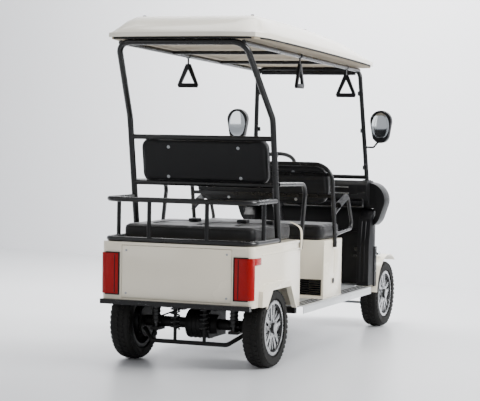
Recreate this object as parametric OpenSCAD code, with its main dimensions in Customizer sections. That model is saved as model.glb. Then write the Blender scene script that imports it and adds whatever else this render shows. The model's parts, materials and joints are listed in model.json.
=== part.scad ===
// Four-seat electric golf cart with a moulded roof, alloy wheels and a railed rear deck.
// +Y is forward, +X is the right-hand side, +Z is up. The ground is Z = 0.
// Every Y below is measured from the rear axle, and place() moves the whole cart so that
// the origin lies on the ground under the middle of its length.

/* [Overall] */
// Distance between the front and rear axles
wheelbase = 2464; // [2200:4:2800]
// Width of the tub, without the wheel flares
body_w = 1000; // [880:2:1160]
// Distance from the rear axle back to the rear face of the tub
tail_reach = 380; // [330:2:440]
// Height of the tub's flat deck
deck_z = 766; // [700:2:860]
// Height of the floor plate's walking surface
floor_z = 340; // [320:2:380]
// Height of the roof's lower edge at the rear
roof_rear_z = 2018; // [1900:1:2150]
// Height of the roof's lower edge at the front
roof_front_z = 1937; // [1850:1:2080]

/* [Wheels] */
// Outside diameter of a tyre
tyre_d = 494; // [440:2:540]
// Width of a tyre
tyre_w = 128; // [110:1:140]
// Diameter over the rim flanges
rim_d = 340; // [300:2:360]
// Distance between the rear tyres' middles
rear_track = 884; // [860:2:900]
// Distance between the front tyres' middles
front_track = 860; // [850:2:900]
// Diameter of the stub that a wheel turns on
stub_d = 34; // [26:1:40]
// Radial clearance of a running fit
run_fit = 0.05; // [0.02:0.01:0.1]
// Number of spoke pairs in a rim
spoke_pairs = 5; // [4:1:7]

/* [Tub] */
// Thickness of the body panels
panel_t = 8; // [4:1:14]
// Radius of the tub's rear corners
corner_r = 40; // [24:2:70]
// Distance from the rear axle forward to the tub's front wall
tub_front = 466; // [420:2:520]
// Height of the tub's lower edge
tub_z = 342; // [320:1:380]
// How far the wheel flares stand out from the side
flare_out = 28; // [26:1:50]
// Height of the tub's lower edge behind the wheels
tail_z = 400; // [385:1:415]
// Gap round a panel or lamp that is set into the body
seam = 0.3; // [0.2:0.1:0.8]

/* [Seats] */
// Distance from the rear axle to the front seat box's rear wall
box_rear = 951; // [900:1:1010]
// Length of the front seat box
box_len = 386; // [340:2:460]
// Height of the front seat box's top
box_z = 730; // [680:2:800]
// Thickness of a seat cushion
cushion_t = 105; // [80:1:140]
// Thickness of a backrest pad
pad_t = 70; // [50:1:95]

/* [Tubes] */
// Diameter of the roof frame's tube
roof_tube_d = 38; // [30:1:48]
// Diameter of the rail fence's tube
fence_tube_d = 32; // [25:1:38]
// Diameter of the armrest and guard tube
arm_tube_d = 27; // [20:1:34]
// Width between the rear posts' centre lines
post_w = 960; // [900:2:980]
// Height of the fence's top rail above the deck
fence_h = 261; // [200:1:330]

/* [Steering] */
// Diameter of the steering wheel to the middle of its rim
hand_wheel_d = 340; // [300:2:380]
// Lean of the steering column from upright
column_lean = 30; // [20:1:40]
// Offset of the steering column to the left of the middle
column_x = 130; // [100:2:200]
// Diameter of a kingpin
kingpin_d = 22; // [16:1:28]
// Distance from a kingpin back to the tie rod's eye
steer_arm = 110; // [90:1:125]

/* [Hidden] */
$fn = 64;

white = "#ece8df";
black = "#1a1b1d";
alloy = "#c9cbcc";
steel = "#8b8e90";
plate = "#bfc3c4";
lens_red = "#c8141c";
soft = "#222326";
tan_liner = "#9c9184";

eps = 0.5;
body_hw = body_w / 2;
tyre_r = tyre_d / 2;
rim_r = rim_d / 2;
axle_z = tyre_r;
front_end = wheelbase + 320;
rear_end = -(tail_reach + 32);
mid_y = (front_end + rear_end) / 2;
box_front = box_rear + box_len;
fence_r = fence_tube_d / 2;
roof_r = roof_tube_d / 2;
arm_r = arm_tube_d / 2;
post_x = post_w / 2;
rail_x = 300;
rail_w = 40;
rail_h = 60;
floor_t = 5;
rail_top = floor_z - floor_t;
kick_z = 462;
front_rail_x = 150;
front_rail_top = 480;
front_rail_end = wheelbase + 106;
kingpin_x = front_track / 2 - 75;
shield_y = wheelbase - 324;
dash_top = 1104;

// Tubes: overlap and extra radius where a straight meets a bend.
bend_lap = 2;
bend_fat = 0.3;

// Rear axle and springs.
axle_tube_r = 34;
drum_r = 104;
back_plate_x = rear_track / 2 - tyre_w / 2 - 24;
outer_spring_x = 262;
inner_spring_x = 98;
spring_y = -70;
coil_r = 25;
guard_y = -150;
guard_z = 142;
bumper_r = 16;
bumper_z = 380;

// Tub: tail lamps, tail panel, wheel openings and the liner above the wheels.
tail_lamp_z = [446, 697];
lamp_tab_z = 655;
lamp_in_x = body_hw - 118;
lamp_tab_y = -tail_reach + 122;
panel_x = 361;
panel_z = [423, 746];
arch_rear = -103;
arch_front = 223;
arch_top = 490;
liner_z = tyre_d + 26;

// Floor and front seat box.
floor_hw = body_hw + 30;
floor_front = shield_y - 175;
grille_x = [322, 482];
grille_z = [362, 468];

// Seats.
rear_seat_y = [-215, 478];
front_seat_y = [box_rear + 15, box_front + 18];
seat_w = body_w - 130;
hoop_foot_y = box_rear + 190;
hoop_lean = 11;
hoop_top_z = 1240;
hoop_x = body_hw + arm_r + 2 * seam;
front_pad_z = 985;
strap_t = 6;

// Rear posts and fence.
post_lean = 10;
post_kink_z = 1530;
rail_low_z = 1120;
rail_high_z = 1409;
rail_r = roof_r - 3;
fence_rear_y = -tail_reach + fence_r + 2;
fence_x = post_x + 4;

// Roof and its frame.
roof_y0 = -398;
roof_y1 = wheelbase - 310;
roof_dome = 122;
roof_band = 26;
roof_t = 10;
liner_drop = 12;
hoop_bar_y = -358;
hoop_bar_z = roof_edge_at(hoop_bar_y) - liner_drop - roof_r - seam;
roof_rail_x = 402;
roof_rail_r = 15;
pillar_r = roof_r - 3;
pillar_top_y = wheelbase - 452;
pillar_top = [395, pillar_top_y, roof_edge_at(pillar_top_y) - liner_drop - pillar_r - seam];
rail_tail = [roof_rail_x, -350, hoop_bar_z - 2];
rail_nose = pillar_top - [8, 0, 8];
// Side, place along the roof rail and turn of each hanging handle.
handle_at = [[-1, 690, 0], [1, 690, 90], [1, 1712, 0]];
strap_drop = 44;

// Windscreen, dashboard and leg shield.
pillar_foot = [440, shield_y - 40, dash_top + 2.6];
screen_low_z = 1130;
screen_t = 5;
brow_x = 468;
brow_under = 205;
ear_r = 130;
ear_x = 452;
ear_t = 36;
ear_drop = 90;
ear_top = dash_top - 12;
ear_y = [shield_y - 60, shield_y + 84];
wing_x = [408, 498];

// Nose, headlamps and mudguards.
cowl_low_hw = 240;
cowl_low_z = 400;
cowl_mid_z = 600;
cowl_wide = 325;
lamp_x = 175;
lamp_mid_z = 672;
lamp_r = 62;
guard_in_r = tyre_r + 47;
guard_t = 5;
guard_x = [front_track / 2 - 78, front_track / 2 + 84];

// Steering and wheels.
hand_centre = [-column_x, box_front + 268, 1208];
column_dir = [0, -sin(column_lean), cos(column_lean)];
shaft_r = 11;
yoke_h = 84;
pin_r = kingpin_d / 2;
bead_r = rim_r - 14;

// ---------------------------------------------------------------- shared shapes

module place() translate([0, -mid_y, 0]) children();

module block(x, y, z) translate([x[0], y[0], z[0]]) cube([x[1] - x[0], y[1] - y[0], z[1] - z[0]]);

module both_sides() {
    children();
    mirror([1, 0, 0]) children();
}

// A solid bar of round section from a to b.
module bar(a, b, r) {
    d = b - a;
    len = norm(d);
    translate(a) rotate([0, acos(d[2] / len), atan2(d[1], d[0])]) cylinder(h = len, r = r);
}

function unit(v) = v / norm(v);
function bend_angle(a, p, b) = acos(unit(p - a) * unit(b - p));
function bend_trim(a, p, b, r) = r * tan(bend_angle(a, p, b) / 2);

// A round tube through the points of a path, with the same bend radius at each corner.
// A bend is a hair thicker than the straights, which run a little way into it.
module bent_tube(path, r, bend) {
    last = len(path) - 1;
    for (i = [0:last - 1]) {
        d = unit(path[i + 1] - path[i]);
        cut_a = i == 0 ? 0 : bend_trim(path[i - 1], path[i], path[i + 1], bend) - bend_lap;
        cut_b = i == last - 1 ? 0 : bend_trim(path[i], path[i + 1], path[i + 2], bend) - bend_lap;
        bar(path[i] + d * cut_a, path[i + 1] - d * cut_b, r);
    }
    for (i = [1:last - 1]) {
        d = unit(path[i] - path[i - 1]);
        e = unit(path[i + 1] - path[i]);
        turn = bend_angle(path[i - 1], path[i], path[i + 1]);
        start = path[i] - d * bend_trim(path[i - 1], path[i], path[i + 1], bend);
        inward = unit(e - d * (d * e));
        centre = start + inward * bend;
        x = -inward;
        z = cross(x, d);
        multmatrix([[x[0], d[0], z[0], centre[0]], [x[1], d[1], z[1], centre[1]],
                [x[2], d[2], z[2], centre[2]]])
            rotate_extrude(angle = turn) translate([bend, 0]) circle(r + bend_fat);
    }
}

// A rectangle centred on the origin with round corners.
module round_rect(w, h, r) {
    square([w - 2 * r, h], center = true);
    square([w, h - 2 * r], center = true);
    for (x = [-1, 1], y = [-1, 1]) translate([x * (w / 2 - r), y * (h / 2 - r)]) circle(r);
}

// A closed sheet over a grid: top and under are functions of (x share, y share).
module grid_sheet(nx, ny, top, under) {
    count = (nx + 1) * (ny + 1);
    pts = concat([for (j = [0:ny], i = [0:nx]) top(i / nx, j / ny)],
        [for (j = [0:ny], i = [0:nx]) under(i / nx, j / ny)]);
    function at(i, j) = j * (nx + 1) + i;
    faces = concat(
        [for (j = [0:ny - 1], i = [0:nx - 1]) each [[at(i, j), at(i, j + 1), at(i + 1, j + 1)],
            [at(i, j), at(i + 1, j + 1), at(i + 1, j)]]],
        [for (j = [0:ny - 1], i = [0:nx - 1]) each [
            [count + at(i, j), count + at(i + 1, j + 1), count + at(i, j + 1)],
            [count + at(i, j), count + at(i + 1, j), count + at(i + 1, j + 1)]]],
        [for (i = [0:nx - 1]) each [[at(i, 0), at(i + 1, 0), count + at(i + 1, 0), count + at(i, 0)],
            [at(i + 1, ny), at(i, ny), count + at(i, ny), count + at(i + 1, ny)]]],
        [for (j = [0:ny - 1]) each [[at(0, j + 1), at(0, j), count + at(0, j), count + at(0, j + 1)],
            [at(nx, j), at(nx, j + 1), count + at(nx, j + 1), count + at(nx, j)]]]);
    polyhedron(points = pts, faces = faces);
}

// ---------------------------------------------------------------- frame and running gear

module ladder_frame() {
    low_y = [tub_front - 60, shield_y - 90];
    both_sides() {
        block([rail_x - rail_w / 2, rail_x + rail_w / 2], low_y, [rail_top - rail_h, rail_top]);
        block([rail_x - rail_w / 2, rail_x + rail_w / 2], [-tail_reach + 20, tub_front - 140],
            [kick_z - rail_h, kick_z]);
        // The kick-up joins the low rail to the rail that passes over the rear axle.
        translate([rail_x - rail_w / 2, 0, 0]) rotate([90, 0, 90]) linear_extrude(rail_w)
            polygon([[tub_front - 60, rail_top - rail_h], [tub_front - 60, rail_top],
                [tub_front - 140, kick_z], [tub_front - 140, kick_z - rail_h]]);
        block([front_rail_x - rail_w / 2, front_rail_x + rail_w / 2],
            [shield_y - 90 - eps, shield_y + 16], [rail_top - rail_h, rail_top]);
        block([front_rail_x - rail_w / 2, front_rail_x + rail_w / 2],
            [shield_y + 90, front_rail_end], [front_rail_top - rail_h, front_rail_top]);
        translate([front_rail_x - rail_w / 2, 0, 0]) rotate([90, 0, 90]) linear_extrude(rail_w)
            polygon([[shield_y + 16, rail_top - rail_h], [shield_y + 16, rail_top],
                [shield_y + 90, front_rail_top], [shield_y + 90, front_rail_top - rail_h]]);
    }
    cross_y = [tub_front - 40, box_rear + 60, box_front - 60];
    for (y = cross_y)
        block([-body_hw + 10, body_hw - 10], [y - 20, y + 20], [rail_top - 40, rail_top]);
    block([-rail_x - rail_w / 2, rail_x + rail_w / 2], [shield_y - 130, shield_y - 90],
        [rail_top - rail_h, rail_top]);
    for (y = [-tail_reach + 20, guard_y - 20, spring_y - 15, 240])
        block([-rail_x, rail_x], [y, y + 40], [kick_z - 40, kick_z]);
    block([-front_rail_x, front_rail_x], [front_rail_end - 40, front_rail_end],
        [front_rail_top - 40, front_rail_top]);
    // Front spring towers.
    both_sides() block([front_rail_x, front_rail_x + 72], [wheelbase - 30, wheelbase + 30],
        [front_rail_top - 12, front_rail_top]);
}

module stub(x0, x1) rotate([0, 90, 0]) translate([0, 0, x0]) cylinder(h = x1 - x0, d = stub_d);

module rear_axle() color(black) place() translate([0, 0, axle_z]) {
    rotate([0, 90, 0]) cylinder(h = 2 * back_plate_x, r = axle_tube_r, center = true);
    both_sides() {
        translate([back_plate_x, 0, 0]) rotate([0, 90, 0]) cylinder(h = 10, r = drum_r);
        stub(back_plate_x, rear_track / 2 + 30);
        // Lower seats of the outer springs.
        block([outer_spring_x - 30, outer_spring_x + 30], [spring_y - 24, 0],
            [-axle_tube_r - 12, -axle_tube_r + 6]);
    }
    translate([15, 0, 0]) rotate([0, 90, 0]) cylinder(h = 150, r = 88, center = true);
    // Drive motor and reduction gear.
    block([-60, 90], [30, 230], [-86, 74]);
    translate([110, 0, 0]) rotate([0, 90, 0]) cylinder(h = 60, r = 62, center = true);
}

module coil_over(x, y, z0, z1) {
    translate([x, y, z0]) cylinder(h = z1 - z0, r = 13);
    translate([x, y, z0 + 30]) cylinder(h = z1 - z0 - 60, r = coil_r);
}

module shock_absorbers() color(steel) place() {
    both_sides() {
        coil_over(outer_spring_x, spring_y, axle_z - axle_tube_r + 6 + seam, kick_z - 40 - seam);
        coil_over(front_rail_x + 52, wheelbase, axle_z + 26, front_rail_top - 12 - seam);
    }
}

// Bent tube under the rear axle, on two hangers from the cross member above it.
module rear_guard() {
    bent_tube([[-340, guard_y + 80, 206], [-250, guard_y, guard_z], [250, guard_y, guard_z],
        [340, guard_y + 80, 206]], arm_r, 40);
    both_sides() bar([inner_spring_x, guard_y, guard_z], [inner_spring_x, guard_y, kick_z - 20], 11);
}

// Tube loop ahead of the nose, on two brackets under the front rails.
module front_bumper() {
    y = front_end - bumper_r;
    bent_tube([[-front_rail_x, front_rail_end - 30, bumper_z], [-front_rail_x - 60, y, bumper_z],
        [front_rail_x + 60, y, bumper_z], [front_rail_x, front_rail_end - 30, bumper_z]], bumper_r, 40);
    both_sides() block([front_rail_x - 14, front_rail_x + 14],
        [front_rail_end - 42, front_rail_end - 14], [bumper_z, front_rail_top - rail_h + eps]);
}

module chassis_frame() color(black) place() {
    ladder_frame();
    rear_guard();
    front_bumper();
}

module rear_bumper() color(black) place() {
    block([-body_hw + 8, body_hw - 8], [rear_end, -tail_reach - seam], [384, 414]);
}

// ---------------------------------------------------------------- rear tub

// Plan of the tub: straight front corners, round rear corners; grow makes it larger all round.
module tub_plan(grow) {
    w = body_hw + grow;
    r = corner_r + grow;
    y0 = -tail_reach - grow;
    translate([-w, y0 + r]) square([2 * w, tub_front + grow - y0 - r]);
    translate([-w + r, y0]) square([2 * (w - r), r + eps]);
    for (x = [-1, 1]) translate([x * (w - r), y0 + r]) circle(r);
}

// The space of the right-hand tail lamp, seen as a block to cut or to keep.
module lamp_space(gap) {
    block([lamp_in_x - gap, body_hw + 20], [-tail_reach - 20, -tail_reach + 24 + gap],
        [tail_lamp_z[0] - gap, tail_lamp_z[1] + gap]);
    block([body_hw - 60, body_hw + 20], [-tail_reach - 20, lamp_tab_y + gap],
        [lamp_tab_z - gap, tail_lamp_z[1] + gap]);
}

// Side view of a wheel opening, as (Y, Z) points.
module arch_side() polygon([[arch_rear - 160, tub_z - 30], [arch_rear, arch_top],
    [arch_front, arch_top], [arch_front + 126, tub_z - 30]]);

// Side view of the flare round a wheel opening; in draws it in all round.
module flare_side(in) polygon([[arch_rear - 189 + in, tub_z - 30], [arch_rear - 175 + in, arch_top + 4],
    [arch_rear - 76 + in / 2, arch_top + 46 - in], [arch_front - 34 - in / 2, arch_top + 46 - in],
    [arch_front + 156 - 1.3 * in, tub_z - 30]]);

module side_prism(x0, x1) translate([x0, 0, 0]) rotate([90, 0, 90]) linear_extrude(x1 - x0) children();

module rear_tub() color(white) place() {
    difference() {
        union() {
            translate([0, 0, tub_z]) linear_extrude(deck_z - tub_z) tub_plan(0);
            both_sides() intersection() {
                side_prism(body_hw - 30, body_hw + flare_out) flare_side(0);
                block([0, body_hw + flare_out], [-tail_reach, tub_front - panel_t], [tub_z, deck_z]);
            }
        }
        // The inside, open below.
        translate([0, 0, tub_z - 10]) linear_extrude(deck_z - panel_t - tub_z + 10) tub_plan(-panel_t);
        both_sides() {
            // Clearance for the wheel behind the flare, then the opening in its face.
            side_prism(body_hw - 40, body_hw + flare_out - panel_t) flare_side(panel_t);
            side_prism(body_hw - 40, body_hw + flare_out + 10) arch_side();
            lamp_space(seam);
        }
        // The tail ends above the bumper, lower down it is open.
        block([-body_hw - 50, body_hw + 50], [-tail_reach - 1, -200], [tub_z - 1, tail_z]);
        // Recess for the tail panel.
        block([-panel_x - 2, panel_x + 2], [-tail_reach - 1, -tail_reach + panel_t + 1],
            [panel_z[0] - 2, panel_z[1] + 2]);
    }
    // Flange behind the tail panel that it is bolted to.
    difference() {
        block([-panel_x - 22, panel_x + 22], [-tail_reach + panel_t, -tail_reach + panel_t + 4],
            [panel_z[0] - 22, panel_z[1] + 11]);
        block([-panel_x + 20, panel_x - 20], [-tail_reach, -tail_reach + 40], [panel_z[0] + 20,
            panel_z[1] - 20]);
        both_sides() lamp_space(seam);
    }
}

module tail_panel() color(white) place() {
    block([-panel_x, panel_x], [-tail_reach - 1, -tail_reach + panel_t - seam], panel_z);
}

module tail_lamps() place() color(lens_red) both_sides() intersection() {
    difference() {
        translate([0, 0, tail_lamp_z[0]]) linear_extrude(tail_lamp_z[1] - tail_lamp_z[0]) tub_plan(7);
        translate([0, 0, tail_lamp_z[0] - 1]) linear_extrude(tail_lamp_z[1] - tail_lamp_z[0] + 2)
            tub_plan(-panel_t + 1);
    }
    lamp_space(0);
}

module wheel_liners() color(black) place() {
    // A flat tray under the deck keeps the wheels' spray out of the tub.
    difference() {
        block([-body_hw + panel_t + seam, body_hw - panel_t - seam],
            [-tail_reach + 60, tub_front - panel_t - seam], [liner_z, liner_z + 5]);
    }
    both_sides() block([rail_x + rail_w / 2 + 6, rail_x + rail_w / 2 + 10],
        [arch_rear - 140, arch_front + 120], [tub_z + 60, liner_z]);
}

// ---------------------------------------------------------------- floor, seat box and power

module floor_deck() color(plate) place() {
    block([-floor_hw, floor_hw], [tub_front + seam, floor_front], [floor_z - floor_t, floor_z]);
    both_sides() block([floor_hw - floor_t, floor_hw], [tub_front + seam, floor_front], [floor_z - 50,
        floor_z]);
    // The footwell part runs on between the wheels to the leg shield.
    block([-body_hw + 110, body_hw - 110], [floor_front - eps, shield_y - seam], [floor_z - floor_t,
        floor_z]);
}

module front_seat_box() color(white) place() difference() {
    block([-body_hw, body_hw], [box_rear, box_front], [floor_z + seam, box_z]);
    block([-body_hw + panel_t, body_hw - panel_t], [box_rear + panel_t, box_front - panel_t],
        [floor_z, box_z - panel_t]);
    block(grille_x + [-seam, seam], [box_rear - 1, box_rear + panel_t + 1], grille_z + [-seam, seam]);
    // Cable port in each side.
    translate([0, box_rear + 205, 448]) rotate([0, 90, 0]) cylinder(h = body_w + 10, r = 11, center = true);
}

module box_grille() color(black) place() {
    bars = 7;
    pitch = (grille_z[1] - grille_z[0]) / bars;
    difference() {
        block(grille_x, [box_rear - 1, box_rear + panel_t], grille_z);
        for (i = [0:bars - 1])
            block(grille_x + [10, -10], [box_rear - 2, box_rear + panel_t + 1],
                [grille_z[0] + (i + 0.28) * pitch, grille_z[0] + (i + 0.72) * pitch]);
    }
}

module battery_pack() color(soft) place() {
    block([-330, 280], [box_rear + 40, box_front - 40], [floor_z + seam, floor_z + 250]);
}

// ---------------------------------------------------------------- seats

module cushion(w, y, z, r) translate([0, (y[0] + y[1]) / 2, z[0]])
    linear_extrude(z[1] - z[0]) round_rect(w, y[1] - y[0], r);

module rear_cushion() color(soft) place()
    cushion(seat_w, rear_seat_y, [deck_z + seam, deck_z + cushion_t], 40);

module front_cushion() color(soft) place()
    cushion(body_w - 40, front_seat_y, [box_z + seam, box_z + cushion_t], 40);

function post_y(z) = 100 - (z - 770) * tan(post_lean);

// Pad that stands behind a seat, leaning back by the given angle about its lower edge.
module leaning_pad(w, h, t, lean, foot, r) translate(foot) rotate([90 + lean, 0, 0])
    translate([0, h / 2, -t / 2]) linear_extrude(t) round_rect(w, h, r);

module rear_backrest() color(soft) place()
    leaning_pad(post_w - 110, (rail_high_z - rail_low_z) / cos(post_lean) - 12, pad_t, post_lean,
        [0, post_y(rail_low_z + 6) + (pad_t / 2 + rail_r + seam) / cos(post_lean), rail_low_z + 6], 46);

function hoop_y(z) = hoop_foot_y - (z - box_z + 20) * tan(hoop_lean);

module front_seat_hoop() color(black) place() {
    foot_z = box_z - 52;
    top_y = hoop_y(hoop_top_z);
    bent_tube([[-hoop_x, hoop_foot_y, foot_z], [-hoop_x, hoop_foot_y, box_z - 20],
        [-hoop_x, top_y, hoop_top_z], [hoop_x, top_y, hoop_top_z],
        [hoop_x, hoop_foot_y, box_z - 20], [hoop_x, hoop_foot_y, foot_z]], arm_r, 120);
    // Straps that carry the back panel.
    for (z = [front_pad_z + 40, hoop_top_z - 70]) translate([0, hoop_y(z), z]) rotate([hoop_lean, 0, 0])
        cube([2 * hoop_x, strap_t, 24], center = true);
    both_sides() front_armrest();
}

module front_backrest() color(soft) place()
    leaning_pad(body_w - 40, hoop_top_z - front_pad_z + 10, pad_t, hoop_lean,
        [0, hoop_y(front_pad_z - 14) + (pad_t / 2 + strap_t / 2 + seam) / cos(hoop_lean), front_pad_z -
            14], 90);

module rear_armrests() color(black) place() both_sides() {
    x = post_x + 10;
    front_y = 500;
    bent_tube([[x, post_y(1128 - arm_r) + (roof_r + seam) / cos(post_lean), 1128],
        [x, front_y + 85, 1118], [x, front_y, deck_z - 20]], arm_r, 70);
    // Foot plate against the tub's side.
    block([body_hw + seam, x + arm_r - 2], [front_y - 40, front_y + 12], [deck_z - 60, deck_z - 14]);
}

// Loop of thin tube outside the hoop's leg, with a grip pad on its upper run.
module front_armrest() {
    x = hoop_x + 4;
    apex = [x, box_rear + 440, 1018];
    bent_tube([[x, hoop_y(905) - 4, 905], apex, [x, box_rear + 560, box_z + 60],
        [x, hoop_foot_y, box_z + 35]], 12, 45);
    bar([x, hoop_foot_y + 40, 958], [x, box_rear + 400, 1012], 21);
}

// ---------------------------------------------------------------- fence and roof frame

module rear_fence() color(black) place() {
    low = deck_z + fence_r + 2 * seam;
    top = deck_z + fence_h;
    for (z = [low, top]) {
        y1 = post_y(z + fence_r) - (roof_r + seam) / cos(post_lean);
        bent_tube([[-fence_x, y1, z], [-fence_x, fence_rear_y, z], [fence_x, fence_rear_y, z],
            [fence_x, y1, z]], fence_r, 75);
    }
    upright_x = 190;
    for (x = [-upright_x, upright_x]) bar([x, fence_rear_y, low], [x, fence_rear_y, top], fence_r - 3);
    both_sides() bar([fence_x, -170, low], [fence_x, -170, top], fence_r - 3);
}

function roof_rail_at(y) = rail_tail + (rail_nose - rail_tail) * (y - rail_tail[1]) / (rail_nose[1] -
    rail_tail[1]);

module roof_frame() color(black) place() {
    foot_z = deck_z + seam + roof_r * sin(post_lean);
    kink = [post_x, post_y(post_kink_z), post_kink_z];
    top = [post_x - 66, hoop_bar_y, hoop_bar_z];
    bent_tube([[-post_x, post_y(foot_z), foot_z], [-kink[0], kink[1], kink[2]], [-top[0], top[1], top[2]],
        [top[0], top[1], top[2]], kink, [post_x, post_y(foot_z), foot_z]], roof_r, 90);
    for (z = [rail_low_z, rail_high_z])
        bar([-post_x, post_y(z), z], [post_x, post_y(z), z], rail_r);
    // Side rails under the roof and the braces across it.
    both_sides() bar(rail_tail, rail_nose, roof_rail_r);
    for (y = [420, 1240]) {
        end = roof_rail_at(y);
        bar([-end[0], end[1], end[2]], end, roof_rail_r - 3);
    }
    // Windscreen frame: pillars that stand on the dashboard, top bar and lower bar.
    bent_tube([[-pillar_foot[0], pillar_foot[1], pillar_foot[2]], [-pillar_top[0], pillar_top[1],
        pillar_top[2]],
        pillar_top, pillar_foot], pillar_r, 60);
    low = pillar_at(screen_low_z);
    bar([-low[0], low[1], low[2]], low, pillar_r - 1);
}

// ---------------------------------------------------------------- roof

function roof_hw(v) = 510 - 16 * v - 30 * pow(abs(2 * v - 1), 10);
function roof_y(u, v) = roof_y0 + (roof_y1 - roof_y0) * v
    + (v < 0.5 ? 1 : -1) * 40 * pow(abs(2 * u - 1), 4) * pow(abs(2 * v - 1), 6);
// Height of the roof's lower edge, with a slight crown along its length.
function roof_edge_at(y) = let (v = (y - roof_y0) / (roof_y1 - roof_y0))
    roof_rear_z + (roof_front_z - roof_rear_z) * v + 6 * sin(180 * v);
// Height of the dome over the edge, as a share, for u and v from 0 to 1.
function roof_rise(u, v) = soft_step((1 - abs(2 * u - 1)) * roof_hw(v) / 135)
    * soft_step(v * (roof_y1 - roof_y0) / 300) * (1 - 0.93 * pow(v, 5.2));
function soft_step(t) = t >= 1 ? 1 : pow(sin(90 * t), 0.85);
function spread(t) = 0.5 - 0.5 * cos(180 * t);
// Point of the roof over its edge by lift, drawn in from the edge by inset.
function roof_point(u, v, lift, inset) = let (y = roof_y(u, v) + inset * (1 - 2 * v))
    [(2 * u - 1) * (roof_hw(v) - inset), y, roof_edge_at(y) + lift];

module roof_shell() color(white) place() grid_sheet(22, 30,
    function(a, b) let (u = spread(a), v = spread(b)) roof_point(u, v,
        roof_band + roof_dome * roof_rise(u, v), 0),
    function(a, b) let (u = spread(a), v = spread(b), edge = min(a, 1 - a, b, 1 - b),
        rim = min(1, max(0, 8 * edge - 0.75) * 1.5))
        roof_point(u, v, rim * max(0, roof_dome * roof_rise(u, v) + roof_band - roof_t), 0));

// Ceiling panel inside the roof's edge. It rests on the hoop and on the windscreen frame.

module roof_liner() color(tan_liner) place() grid_sheet(10, 12,
    function(a, b) roof_point(spread(a), spread(b), -seam, 14),
    function(a, b) roof_point(spread(a), spread(b), seam - liner_drop, 14));

// Handles that hang from the roof rails, turned as they have swung.
module grab_handles() color(black) place() for (h = handle_at) {
    rail = roof_rail_at(h[1]);
    translate([h[0] * rail[0], rail[1], rail[2] - roof_rail_r]) {
        block([-2, 2], [-12, 12], [-strap_drop, -1.5]);
        // Strap loop round the rail.
        translate([0, 12, roof_rail_r]) rotate([90, 0, 0]) difference() {
            cylinder(h = 24, r = roof_rail_r + 3);
            translate([0, 0, -1]) cylinder(h = 26, r = roof_rail_r + 3 * seam);
        }
        rotate([0, 0, h[2]]) translate([0, 0, -strap_drop]) difference() {
            rotate([90, 0, 0]) linear_extrude(18, center = true)
                polygon([[-16, 6], [16, 6], [74, -134], [66, -152], [-66, -152], [-74, -134]]);
            rotate([90, 0, 0]) linear_extrude(30, center = true)
                polygon([[0, -26], [46, -122], [-46, -122]]);
        }
    }
}

// ---------------------------------------------------------------- front of the body

function pillar_at(z) = pillar_foot + (pillar_top - pillar_foot) * (z - pillar_foot[2]) / (pillar_top[2] -
    pillar_foot[2]);

module windscreen() color("#a9c4c8") place() {
    low = pillar_at(screen_low_z);
    high = pillar_at(pillar_top[2] - 36);
    off = pillar_r + screen_t / 2 + 2 * seam;
    rise = high[2] - low[2];
    lean = atan2(low[1] - high[1], rise);
    translate([0, low[1] + off / cos(lean), low[2]]) rotate([90 + lean, 0, 0]) linear_extrude(screen_t,
        center = true)
        polygon([[-low[0] + 6, 0], [low[0] - 6, 0], [high[0] - 4, rise / cos(lean)], [-high[0] + 4, rise /
            cos(lean)]]);
}

// Side view of the dashboard's brow, as (Y, Z) points; grow makes it larger for a clearance.
module brow_side(grow) polygon([[shield_y - 148 - grow, dash_top - 86], [shield_y - 148 - grow, dash_top -
    30],
    [shield_y - 118, dash_top + grow], [shield_y + 20, dash_top + grow], [shield_y + 132 + grow,
        dash_top - 44],
    [shield_y + 160 + grow, dash_top - 110], [shield_y + 160 + grow, dash_top - 150],
    [shield_y + 12, dash_top - brow_under - grow], [shield_y - 40, dash_top - brow_under - grow],
    [shield_y - 100, dash_top - 140]]);

// Front view of an end of the dashboard, which curls down and back inwards.
module ear_outline() difference() {
    hull() {
        translate([ear_x, ear_top - ear_r]) circle(ear_r);
        translate([ear_x - 12, ear_top - ear_r - ear_drop]) circle(ear_r - 18);
    }
    // Window in the lower part, through which the cream shell shows.
    intersection() {
        translate([ear_x - 12, ear_top - ear_r - ear_drop]) circle(ear_r - 18 - ear_t);
        translate([0, ear_top - 3 * ear_r]) square([2 * ear_x, 3 * ear_r - brow_under]);
    }
    translate([ear_x - 2 * ear_r, dash_top - 3 * ear_r]) square([2 * ear_r, 4 * ear_r]);
    square([wing_x[1] + 2, dash_top - brow_under + 4]);
}

module dashboard() color(black) place() {
    side_prism(-brow_x, brow_x) brow_side(0);
    both_sides() translate([0, ear_y[1], 0]) rotate([90, 0, 0]) linear_extrude(ear_y[1] - ear_y[0])
        ear_outline();
}

module leg_shield() color(black) place() {
    top = dash_top - brow_under - seam;
    block([-wing_x[1], wing_x[1]], [shield_y, shield_y + 12], [floor_z - 4, top]);
    both_sides() {
        side_prism(wing_x[0], wing_x[1])
            polygon([[shield_y - 150, floor_z + seam], [shield_y - 150, floor_z + 300], [shield_y - 110,
                top - 70],
                [shield_y - 40, top], [shield_y + eps, top], [shield_y + eps, floor_z + seam]]);
        // Bracket that carries the mudguard.
        block([wing_x[1] - 3, wing_x[1] + 8], [shield_y - 24, shield_y + 32], [floor_z - 10, 622]);
    }
}

module cowl_form(in) {
    y0 = shield_y + 12 + seam;
    hull() {
        block([-cowl_low_hw + in, cowl_low_hw - in], [y0, wheelbase + 120 - in], [cowl_low_z + in,
            cowl_mid_z]);
        block([-150 + in, 150 - in], [y0, wheelbase + 250 - in],
            [cowl_low_z + 60 + in, cowl_mid_z - 10]);
    }
    hull() {
        block([-cowl_wide + in, cowl_wide - in], [y0, wheelbase + 40 - in], [cowl_mid_z + in, 740]);
        block([-240 + in, 240 - in], [y0, wheelbase + 210 - in], [cowl_mid_z + in, 700]);
        block([-380 + in, 380 - in], [y0, y0 + 120], [860, dash_top - 150 - in]);
    }
}

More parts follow.
